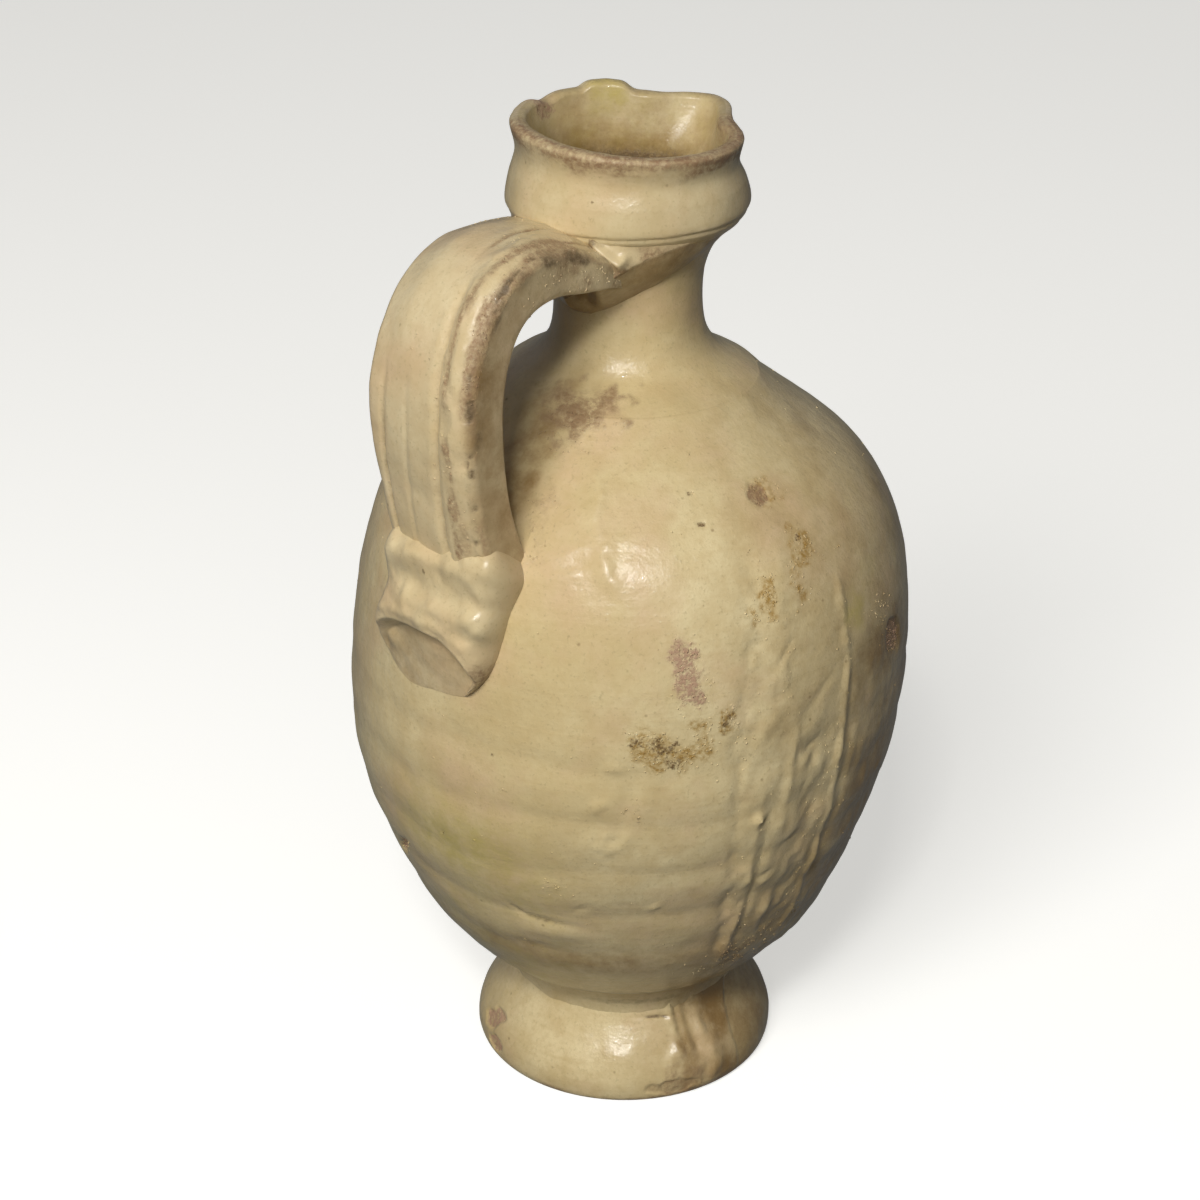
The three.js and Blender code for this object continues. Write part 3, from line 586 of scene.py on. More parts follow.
def glazed_earthenware(name, pale, deep, ochre, gloss, wheel):
    """Cream lead glaze, dipped and fired over red earthenware: a soft uneven gloss, mottled where it lies thicker,
    with iron specks through it. Use has rubbed the edges down to brown clay and left dirt in the hollows. The same
    marks also carry painted shade: in hollows, inside the mouth, under ledges and down the shaded sides."""
    glaze, node = shader_nodes(name)
    place = node("ShaderNodeTexCoord").outputs["Object"]
    aside = node(VECTOR, {0: place, 1: FLUSH_ASIDE}, operation="ADD")

    # What is fired into the glaze: its size in millimetres, its detail and roughness, where it starts and is full,
    # how much it covers, and its colour. The broad mottle is the glaze's thickness.
    layers = {
        "mottle": (place, 40, 3, 0.5, 0.36, 0.64, 1, deep),
        "flush": (aside, 26, 4, 0.6, 0.47, 0.66, 0.75, FLUSH),
        "cloud": (place, 9, 5, 0.6, 0.42, 0.72, 0.55, ochre),
        "fine": (place, 2, 5, 0.7, 0.44, 0.70, 0.42, ochre),
        "dust": (place, 0.9, 3, 0.6, 0.58, 0.76, 0.40, DUST),
    }
    coats = []
    noises = {}
    for layer, (where, size, detail, rough, start, full, most, code) in layers.items():
        noises[layer] = node(NOISE, {
            "Vector": where, "Scale": per_mm(size), "Detail": detail, "Roughness": rough,
        })
        coats.append((node(RANGE, {0: noises[layer], 1: start, 2: full, 4: most}), code))

    # Lines the fingers left as the wheel turned, 1.3 mm apart
    level = node(VECTOR, {
        0: place, 1: (per_mm(30), per_mm(30), per_mm(1.3)),
    }, operation="MULTIPLY")
    lines = node(NOISE, {"Vector": level, "Scale": 1, "Detail": 2})
    coats.append((node(RANGE, {0: lines, 1: 0.5, 2: 0.75, 4: 0.2 * wheel}), ochre))

    # Iron specks, one in a few of cells 6 mm wide
    cells = node("ShaderNodeTexVoronoi", {"Vector": place, "Scale": per_mm(6)})
    dots = node(RANGE, {0: cells.outputs["Distance"], 1: 0.09, 2: 0.03, 4: 0.55})
    lot = node("ShaderNodeSeparateColor", {0: cells.outputs["Color"]})
    few = node(MATH, {0: lot, 1: 0.7}, operation="GREATER_THAN")
    coats.append((node(MATH, {0: dots, 1: few}, operation="MULTIPLY"), IRON))

    # Marks of use, and the painted shade some of them carry, torn at their edges by noise
    dull = 0
    for mark, (code, grain, rough, start, full) in MARKS.items():
        level = node("ShaderNodeAttribute", attribute_name=mark).outputs["Fac"]
        noise = node(NOISE, {"Vector": place, "Scale": per_mm(grain), "Detail": 5, "Roughness": 0.72})
        grains = node(RANGE, {0: noise, 1: 0.33, 2: 0.67, 3: 1 - rough, 4: 1 + rough})
        torn = node(MATH, {0: grains, 1: level}, operation="MULTIPLY")
        share = node(RANGE, {0: torn, 1: start, 2: full}, interpolation_type="SMOOTHSTEP")
        coats.append((share, code))
        if mark in ROUGH_MARKS:
            dull = node(MATH, {0: dull, 1: share}, operation="MAXIMUM")

    colour = linear(pale)
    for share, code in coats:
        colour = node(MIX, {MIX_SHARE: share, MIX_FROM: colour, MIX_TO: linear(code)}, data_type="RGBA")

    # Gloss, dulled where the glaze is worn through or dirty, and where the grime and crust marks carry painted shade
    sheen = node(RANGE, {0: noises["fine"], 3: gloss - GLOSS_SPREAD, 4: gloss + GLOSS_SPREAD})
    roughness = node(MIX, {0: dull, 2: sheen, 3: DULL_ROUGHNESS}, data_type="FLOAT")

    # Skin of the glaze: a peel of 2.4 mm and the grains of the dust, coarser where it is dirty and where the marks
    # carry painted shade
    peel = node(NOISE, {"Vector": place, "Scale": per_mm(2.4), "Detail": 2})
    gritty = node(MATH, {0: dull, 1: 0.9, 2: 0.45}, operation="MULTIPLY_ADD")
    grit = node(MATH, {0: noises["dust"], 1: gritty}, operation="MULTIPLY")
    skin = node(MATH, {0: peel, 1: 0.55, 2: grit}, operation="MULTIPLY_ADD")
    skin = node(MATH, {0: lines, 1: 0.3 * wheel, 2: skin}, operation="MULTIPLY_ADD")
    bump = node("ShaderNodeBump", {"Height": skin, "Distance": SKIN_DEPTH * MM, "Strength": 1})
    crisp = node("ShaderNodeBump", {"Height": skin, "Distance": COAT_SKIN_DEPTH * MM, "Strength": 1})
    shader = node("ShaderNodeBsdfPrincipled", {
        "Base Color": colour, "Roughness": roughness, "Normal": bump, "IOR": 1.45,
        "Coat Weight": 0.5, "Coat Roughness": 0.035, "Coat IOR": 1.5, "Coat Normal": crisp,
    })
    node("ShaderNodeOutputMaterial", {0: shader})
    return glaze


BODY_GLAZE = glazed_earthenware("cream_lead_glaze_body", "#D9C79A", "#CBB686", "#BFA674", gloss=0.36, wheel=1)
FOOT_GLAZE = glazed_earthenware("cream_lead_glaze_foot", "#D6C396", "#C4AE7E", "#B49A68", gloss=0.32, wheel=1)
COLLAR_GLAZE = glazed_earthenware("cream_lead_glaze_collar", "#D8C79F", "#C9B68B", "#BCA476", gloss=0.36, wheel=1)
HANDLE_GLAZE = glazed_earthenware("cream_lead_glaze_handle", "#D9C79F", "#CDB98E", "#C2A97C", gloss=0.34, wheel=0)


# The thrown members, from the foot up

BODY_TURNS = turns_round(600)
NECK_TURNS = turns_round(420)
FOOT_TURNS = turns_round(480)

# The looks of each joint lie a little above the solids' own, with a hair's gap
JOINT_GAP = 0.02
JOINT_LAP = 0.15
BOWL_RIM = BODY_JOINT + JOINT_LAP
DOME_RIM = NECK_FOOT + JOINT_LAP
NECK_RIM = COLLAR_FOOT + JOINT_LAP


def foot_wall(turns):
    """The foot from its flat underside round the worn edge and in to the waist."""
    edge = bezier(
        (FOOT_RADIUS - FOOT_EDGE_ROUND, 0), (FOOT_RADIUS - 0.4, 0.1), (FOOT_RADIUS, 1.2), (FOOT_RADIUS, FOOT_EDGE), 24,
    )
    side = bezier(
        (FOOT_RADIUS, FOOT_EDGE), (FOOT_RADIUS, FOOT_EDGE + FOOT_SWEEP),
        (FOOT_WAIST_RADIUS, BOWL_FLOOR - FOOT_SWEEP), (FOOT_WAIST_RADIUS, BOWL_FLOOR),
    )
    line = np.vstack([edge[:-1], resampled(side, 76)])
    wall = rings(line, turns)
    run, swell, chip, stain, mark = wall.run, wall.swell, wall.chip, wall.stain, wall.mark
    flowed = smooth(58, 69, wall.bearing + 5 * wall.lumps(8, 50) + 3 * wall.lumps(3, 49))
    curtain = 91 + 0.11 * np.clip(wall.height - 9, 0, 20) ** 1.8
    past = smooth(-1.2, 0.6, wall.bearing - curtain)
    wall.lift += 0.5 * flowed * (1 - past) * (0.6 + 0.4 * wall.lumps(7, 51))
    run((64, 14), (64.5, 27), width=1.2, lift=0.5, soft=4)
    run((67, 12), (66.8, 27), width=1, lift=-0.5, soft=4)
    run((78, 4), (82, 27), width=2.6, lift=0.5, soft=4)
    run((73, 4), (73, 24), width=1.8, lift=-0.35, soft=4)
    swell(57, 20, 4.2, 0.45, -0.5, lean=-4)
    swell(65, 11.5, 2.4, 1.6, 0.5)
    swell(40, 12, 4, 2.6, 0.3)
    wall.lift += 0.22 * wall.lumps(13, 52) + 0.1 * wall.lumps(5, 53) + 0.05 * wall.lumps(2.4, 54)
    chip("clay", -26, 9, 5, 3, 0.7, lean=30)
    chip("clay", -20, 4, 3.6, 2, 0.6)
    chip("grime", 60, 3.4, 7, 2.4, 0.5)
    mark("pool", flowed * (0.75 + 0.5 * wall.lumps(6, 48)) * (1 - 0.45 * past))
    mark("pool", past * 0.75 * smooth(175, 150, wall.bearing))
    stain("grime", 63, 5, 9, 4, 0.8, rough=0.7, layer=55)
    stain("grime", 66, 11.5, 3, 2, 0.6, rough=0.6, layer=56)
    # The crease marks darken the crack round the foot and the line beside the curtain's edge: dirt in the crack, and
    # painted shade.
    stain("crease", 57, 20, 4.6, 0.55, 0.9, lean=-4, rough=0.3, layer=57)
    stain("crease", 95, 17.5, 5, 0.7, 0.6, lean=52, rough=0.3, layer=58)
    mark("wear", 0.75 * smooth(2.6, 0.4, wall.height + 0.9 * wall.lumps(4, 59)))
    wall.places = wall.raised(wall.lift * smooth(0, 3, wall.height), *squares(line).T[..., None])
    return wall


foot_under = rings([(6, FOOT_HOLLOW), (20, FOOT_HOLLOW), (33, 0.3), (FOOT_RADIUS - 3, 0)], FOOT_TURNS)
foot_top = rings([(FOOT_WAIST_RADIUS - 3, BOWL_FLOOR + 0.3), (8, BOWL_FLOOR - 0.4)], FOOT_TURNS)
foot_under.paints["clay"] += 0.9
foot = thrown("foot", [foot_under, foot_wall(FOOT_TURNS), foot_top], "capped", FOOT_GLAZE)


def coil_wall(turns, steps=22):
    """The coil of clay that seals the foot to the bowl, smeared by a finger into a hollow curve as it was turned."""
    high_edge = (wall_radius(COIL_HIGH) - 1, COIL_HIGH)
    low_edge = (FOOT_WAIST_RADIUS + 0.2, COIL_LOW)
    corner = (FOOT_WAIST_RADIUS + 1.3, BOWL_FLOOR)
    hollow = bezier(low_edge, corner, corner, high_edge, steps)
    back = [(FOOT_WAIST_RADIUS - 2, BOWL_FLOOR + 1), (FOOT_WAIST_RADIUS - 2, COIL_LOW + 1)]
    wall = rings(np.vstack([hollow, back]), turns)
    wall.places = wall.raised(0.3 * wall.lumps(9, 60) + 0.15 * wall.lumps(3, 61), 1, 0)
    # Painted shade: the coil darkened a little all round and along a line in the corner under the bowl; on the run
    # side the darker tone is pooled glaze.
    wall.mark("pool", 0.12 + 0.4 * smooth(56, 72, wall.bearing) * smooth(100, 84, wall.bearing))
    wall.stain("crease", 46, COIL_LOW + 6, 26, 1.2, 0.5, rough=0.5, layer=65)
    return wall


foot_coil = thrown("foot_coil", [coil_wall(FOOT_TURNS)], "joined", FOOT_GLAZE)

lower_bowl = thrown("lower_bowl", [
    rings([(6, BOWL_FLOOR), (BOWL_FLAT_RADIUS - 1, BOWL_FLOOR)], BODY_TURNS),
    outside(BOWL_FLOOR + 0.05, BOWL_RIM, BODY_TURNS, rows=136),
    inside(INNER_FLOOR, BOWL_RIM, BODY_TURNS, rows=14),
    rings([(8, BOWL_FLOOR + WALL)], BODY_TURNS),
], "capped", BODY_GLAZE)

shoulder_dome = thrown("shoulder_dome", [
    outside(BOWL_RIM + JOINT_GAP, DOME_RIM, BODY_TURNS, rows=104),
    inside(BOWL_RIM + JOINT_GAP, DOME_RIM, BODY_TURNS, rows=12),
], "joined", BODY_GLAZE)

neck_bore = inside(DOME_RIM + JOINT_GAP, NECK_RIM, BODY_TURNS, rows=24)
# Painted shade down the neck's bore, the deep throat.
neck_bore.paints["crust"] += 3
neck_wall = outside(DOME_RIM + JOINT_GAP, NECK_RIM, BODY_TURNS, rows=90)
neck = thrown("neck", [neck_wall, neck_bore], "joined", BODY_GLAZE)


def new_tree(name, sizes, others):
    """A tree that takes geometry, sizes and other inputs and gives geometry, and the function that adds its nodes."""
    tree = bpy.data.node_groups.new(name, "GeometryNodeTree")
    for socket, kind in {"Geometry": "Geometry", **dict.fromkeys(sizes, "Float"), **others}.items():
        tree.interface.new_socket(socket, in_out="INPUT", socket_type="NodeSocket" + kind)
    tree.interface.new_socket("Geometry", in_out="OUTPUT", socket_type="NodeSocketGeometry")
    return tree, functools.partial(add, tree)


GROOVE_SOFTNESS = 0.03
RING_MEAN = 0.62


def throwing_rings():
    """A tree that presses the potter's rings into a thrown wall: rounded ridges between narrow grooves, level round
    the wheel's axis, strongest low down and fading out above."""
    tree, node = new_tree(
        "throwing_rings", ("Pitch", "Depth", "Groove Height", "Fade Height", "Fade Length", "Wander"),
        {"Glaze": "Material"},
    )
    given = node("NodeGroupInput").outputs
    place = node("GeometryNodeInputPosition")
    parts = node("ShaderNodeSeparateXYZ", {0: place}).outputs
    level = node("ShaderNodeCombineXYZ", {"X": parts["X"], "Y": parts["Y"]})
    outward = node(VECTOR, {0: level}, operation="NORMALIZE")

    # Each groove wanders a little in height as the wheel turns, and is deeper in one place than another
    drift = node(NOISE, {"Vector": place, "Scale": per_mm(60), "Detail": 1})
    drift = node(MATH, {0: drift, 1: 0.5}, operation="SUBTRACT")
    height = node(MATH, {0: drift, 1: given["Wander"], 2: parts["Z"]}, operation="MULTIPLY_ADD")
    height = node(MATH, {0: height, 1: given["Groove Height"]}, operation="SUBTRACT")
    turns = node(MATH, {0: height, 1: given["Pitch"]}, operation="DIVIDE")
    wave = node(MATH, {0: turns, 1: math.pi}, operation="MULTIPLY")
    wave = node(MATH, {0: wave}, operation="SINE")
    wave = node(MATH, {0: wave, 1: wave, 2: GROOVE_SOFTNESS}, operation="MULTIPLY_ADD")
    wave = node(MATH, {0: wave}, operation="SQRT")
    ridge = node(MATH, {0: wave, 1: RING_MEAN}, operation="SUBTRACT")
    press = node(NOISE, {"Vector": place, "Scale": per_mm(45), "Detail": 2})
    press = node(RANGE, {0: press, 1: 0.3, 2: 0.7, 3: 0.3, 4: 1.2})
    above = node(MATH, {0: parts["Z"], 1: given["Fade Height"]}, operation="SUBTRACT")
    above = node(MATH, {0: above, 1: given["Fade Length"]}, operation="DIVIDE")
    shown = node(RANGE, {0: above, 3: 1, 4: 0}, interpolation_type="SMOOTHSTEP")
    depth = given["Depth"]
    for factor in (press, shown, ridge):
        depth = node(MATH, {0: depth, 1: factor}, operation="MULTIPLY")
    move = node(VECTOR, {0: outward, "Scale": depth}, operation="SCALE")
    pressed = node("GeometryNodeSetPosition", {"Geometry": given["Geometry"], "Offset": move})
    real = node("GeometryNodeRealizeInstances", {0: pressed})
    dipped = node("GeometryNodeSetMaterial", {"Geometry": real, "Material": given["Glaze"]})
    node("NodeGroupOutput", {0: dipped})
    return tree


def worked(piece, tree, **inputs):
    """The piece with a tree's work made into its own plain mesh."""
    modifier = piece.modifiers.new(tree.name, "NODES")
    modifier.node_group = tree
    for socket in tree.interface.items_tree:
        key = socket.name.replace(" ", "_").lower()
        if socket.in_out == "INPUT" and key in inputs:
            modifier[socket.identifier] = inputs[key]
    shaped = piece.evaluated_get(bpy.context.evaluated_depsgraph_get())
    mesh = bpy.data.meshes.new_from_object(shaped)
    plain = piece.data
    piece.modifiers.remove(modifier)
    piece.data = mesh
    bpy.data.meshes.remove(plain)
    return piece


RINGS = throwing_rings()
for member in (lower_bowl, shoulder_dome):
    worked(
        member, RINGS, pitch=15 * MM, depth=0.6 * MM, groove_height=116.5 * MM, fade_height=112 * MM,
        fade_length=16 * MM, wander=12 * MM, glaze=BODY_GLAZE,
    )


def scattered_grit():
    """A tree that scatters what is caught in the glaze: low grains, sparse on clean glaze and thick where it is
    marked. Each grain keeps the marks of the glaze it stands on."""
    tree, node = new_tree("grit", ("Grains", "Clean Share", "Grain Size"), {"Seed": "Int", "Glaze": "Material"})
    given = node("NodeGroupInput").outputs
    marked = 0
    for mark in ("crust", "grime", "clay", "rust", "wear"):
        level = node("GeometryNodeInputNamedAttribute", {"Name": mark}, data_type="FLOAT")
        marked = node(MATH, {0: marked, 1: level}, operation="MAXIMUM")
    parts = node("ShaderNodeSeparateXYZ", {0: node("GeometryNodeInputPosition")}).outputs
    level = node("ShaderNodeCombineXYZ", {"X": parts["X"], "Y": parts["Y"]})
    faced = node(VECTOR, {0: level, 1: node("GeometryNodeInputNormal")}, operation="DOT_PRODUCT")
    outer = node(MATH, {0: faced, 1: 0}, operation="GREATER_THAN")
    share = node(MATH, {0: outer, 1: given["Clean Share"], 2: marked}, operation="MULTIPLY_ADD")
    density = node(MATH, {0: share, 1: given["Grains"]}, operation="MULTIPLY")
    spots = node("GeometryNodeDistributePointsOnFaces", {
        "Mesh": given["Geometry"], "Density": density, "Seed": given["Seed"],
    })
    grain = node("GeometryNodeMeshIcoSphere", {"Radius": 1, "Subdivisions": 1})
    size = node("FunctionNodeRandomValue", {2: 0.4, 3: 1.5, "Seed": given["Seed"]}, data_type="FLOAT")
    size = node(MATH, {0: size, 1: given["Grain Size"]}, operation="MULTIPLY")
    low_size = node(VECTOR, {0: (1, 1, 0.55), "Scale": size}, operation="SCALE")
    grains = node("GeometryNodeInstanceOnPoints", {
        "Points": spots.outputs["Points"], "Instance": grain, "Rotation": spots.outputs["Rotation"], "Scale": low_size,
    })
    real = node("GeometryNodeRealizeInstances", {0: grains})
    dipped = node("GeometryNodeSetMaterial", {"Geometry": real, "Material": given["Glaze"]})
    softened = node("GeometryNodeSetShadeSmooth", {0: dipped})
    node("NodeGroupOutput", {0: softened})
    return tree


GRIT_TREE = scattered_grit()
GRAIN_SIZE = 0.22


def caught(piece, glaze, grains, clean):
    """The grit of one piece: so many grains to the square millimetre where marks are full, a share on clean glaze."""
    grit = piece.copy()
    grit.data = piece.data.copy()
    grit.name = piece.name.split(".")[0] + "_grit"
    bpy.context.scene.collection.objects.link(grit)
    return worked(
        grit, GRIT_TREE, grains=grains / MM**2, clean_share=clean, grain_size=GRAIN_SIZE * MM, seed=SEED, glaze=glaze,
    )


bowl_grit, dome_grit = (caught(member, BODY_GLAZE, grains=0.9, clean=0.004) for member in (lower_bowl, shoulder_dome))


# The collar, its pouring lip and its worn rim

LIP_TURN = 180
LIP_PUSH = 6
LIP_PINCH = 1.4
LIP_SPREAD = 17
LIP_PINCH_TURN = 34
RIM_TILT = 1.9
RIM_TILT_TURN = -64
TAB_HEIGHT = 1.8
TAB_TURN = -127
TAB_SPREAD = 13
CHIP_DEPTH = 1.4
CHIP_TURN = -87
CHIP_SPREAD = 8


def collar_wall(turns):
    """The collar from its foot up over the rim and down its inside."""
    outer = stretch(COLLAR_LINE, NECK_RIM + JOINT_GAP, RIM - RIM_ROUND, 64)
    crest = bezier(
        (RIM_RADIUS, RIM - RIM_ROUND), (RIM_RADIUS + 0.3, RIM + 0.4),
        (RIM_RADIUS - RIM_WALL, RIM + 0.5), (RIM_RADIUS - RIM_WALL, RIM - RIM_ROUND), 26,
    )[1:-1]
    inner = resampled(spline([
        (RIM_RADIUS - RIM_WALL, RIM - RIM_ROUND), (COLLAR_WAIST_RADIUS - RIM_WALL, COLLAR_FOOT + COLLAR_WAIST_RISE),
        (COLLAR_WAIST_RADIUS - WALL, COLLAR_FOOT + BEAD_RISE),
        (np.interp(COLLAR_FOOT, INNER_LINE[:, 1], INNER_LINE[:, 0]), NECK_RIM + JOINT_GAP),
    ]), 44)
    line = np.vstack([outer, crest, inner])
    wall = rings(line, turns)
    out, rise = squares(line).T[..., None]
    share = smooth(COLLAR_FOOT + BEAD_RISE, RIM, wall.height)
    edge = smooth(COLLAR_FOOT + COLLAR_WAIST_RISE, RIM - RIM_ROUND, wall.height)
    from_lip = wall.from_turn(LIP_TURN) / LIP_SPREAD
    from_pinch = np.abs(from_lip) - LIP_PINCH_TURN / LIP_SPREAD
    push = LIP_PUSH * hump(from_lip) - LIP_PINCH * hump(from_pinch)
    lean = RIM_TILT * np.cos(np.radians(wall.turn - RIM_TILT_TURN))
    tab = TAB_HEIGHT * np.exp(-((wall.from_turn(TAB_TURN) / TAB_SPREAD) ** 6))
    chip = CHIP_DEPTH * hump(wall.from_turn(CHIP_TURN) / CHIP_SPREAD)
    within = (np.arange(len(line)) >= len(outer) + len(crest) // 2)[:, None]
    wall.lift += 0.14 * wall.lumps(9, 70) + 0.07 * wall.lumps(4, 71)
    wall.lift += edge * (0.12 * wall.lumps(2.4, 72) + 0.4 * wall.lumps(14, 73))
    wall.lift -= 0.35 * ~within * hump((wall.height - COLLAR_FOOT - 2.6) / 0.5)
    wall.lift *= smooth(COLLAR_FOOT, COLLAR_FOOT + 2, wall.height)
    radius = wall.radius + push * share + wall.lift * out
    height = wall.height + lean * share + (tab - chip) * edge + wall.lift * rise
    wall.places = around(radius, wall.turn, height)
    turn, mark, stain = wall.bearing, wall.mark, wall.stain
    front = smooth(-62, -30, turn) * smooth(172, 150, turn)
    rubbed = lumps(stacked(0.16 * wall.turn, 3 * wall.radius, 3 * wall.height), 2, 68)
    band = smooth(RIM - 7, RIM - 1.2, wall.height + 1.8 * wall.lumps(6, 74) + 0.9 * wall.lumps(2.5, 69))
    mark("wear", (np.where(within, 0.7, 0.95) + 0.35 * rubbed) * band * front)
    mark("crease", (0.55 * rubbed - 0.05).clip(0) * smooth(RIM - 2.6, RIM - 1.2, wall.height) * front)
    mark("wear", 0.35 * smooth(RIM - 1.6, RIM - 0.4, wall.height) * (1 - tab / TAB_HEIGHT))
    mark("rust", 0.5 * front * smooth(RIM - 8, RIM - 3, wall.height) * ~within)
    mark("grime", 0.6 * band * smooth(60, 110, turn) * smooth(165, 140, turn))
    mark("moss", (0.45 * tab / TAB_HEIGHT * edge + 0.45 * within).clip(0, 1))
    # Painted shade inside the mouth, darker with depth and darkest down in the throat.
    mark("crease", 1.2 * within * smooth(COLLAR_FOOT + 14, COLLAR_FOOT + 3, wall.height))
    mark("pool", within * (0.5 + 0.7 * smooth(RIM - 4, COLLAR_FOOT + 2, wall.height)))
    mark("crust", 2.4 * within * smooth(COLLAR_FOOT + 10, COLLAR_FOOT + 4, wall.height))
    stain("clay", -80, RIM - 1.5, 5, 3.5, 0.9, layer=75)
    stain("crust", -74, RIM - 2.2, 1.2, 1.2, 1, layer=76)
    stain("crust", 24, COLLAR_FOOT + 11, 0.6, 0.6, 0.9, layer=77)
    return wall


collar = thrown("collar", [collar_wall(NECK_TURNS)], "joined", COLLAR_GLAZE)


# The pulled strap handle

STRAP_THICKNESS = 11.5
STRAP_ROOT_THICKNESS = 12
STRAP_ROOT_NARROWING = 3
STRAP_ROOT_ROLL = 5
STRAP_END_THICKNESS = 9
STRAP_EDGE = 1.9
STRAP_CROWN = 1.2
HANDLE_DROP = 33.5
ROOT_DROP = 9.4
ROOT_SINK = 4
ROOT_SWEEP_OUT = 43.9
ROOT_SWEEP_UP = 23.5
CROWN_SWEEP = 19.4
TAIL_SWEEP_SHARE = 0.52
TAIL_LEAN = 4
TAIL_END_SHARE = 0.285
TAIL_SINK = 6.5
LUTED_DEPTH = 3
STRAP_END = BELLY + 44.5

# Lines along the strap, by how far they lie from its middle
LEFT_GROOVE = -11.2
MIDDLE_GROOVE = -3.6
RIB_GROOVE = 5.6
RIB = 10.2
WORN_EDGE = 14.6


def strap_path(count):
    reach = BELLY_RADIUS + 1.5 - STRAP_THICKNESS / 2
    reach_height = COLLAR_FOOT - HANDLE_DROP
    drop = reach_height - STRAP_END
    root = (NECK_RADIUS - ROOT_SINK, COLLAR_FOOT - ROOT_DROP)
    end = (wall_radius(STRAP_END) - TAIL_SINK, STRAP_END)
    over = bezier(
        root, (root[0] + ROOT_SWEEP_OUT, root[1] + ROOT_SWEEP_UP),
        (reach, reach_height + CROWN_SWEEP), (reach, reach_height),
    )
    down = bezier(
        (reach, reach_height), (reach, reach_height - TAIL_SWEEP_SHARE * drop),
        (end[0] + TAIL_LEAN, end[1] + TAIL_END_SHARE * drop), end,
    )
    return resampled(np.vstack([over[:-1], down]), count)


def strap_section(steps):
    """Places round a soft-cornered section, as shares of its half width and half thickness."""
    half, deep, corner = STRAP_HALF_WIDTH, STRAP_THICKNESS / 2, STRAP_EDGE
    quarter = np.linspace(0, math.pi / 2, 10)
    bend = stacked(half - corner + corner * np.cos(quarter), deep - corner + corner * np.sin(quarter))
    line = np.vstack([bend, bend[::-1] * [-1, 1], bend * [-1, -1], bend[::-1] * [1, -1], bend[:1]])
    even = resampled(line, steps + 1)[:-1]
    return even[:, 0] / half, even[:, 1] / deep


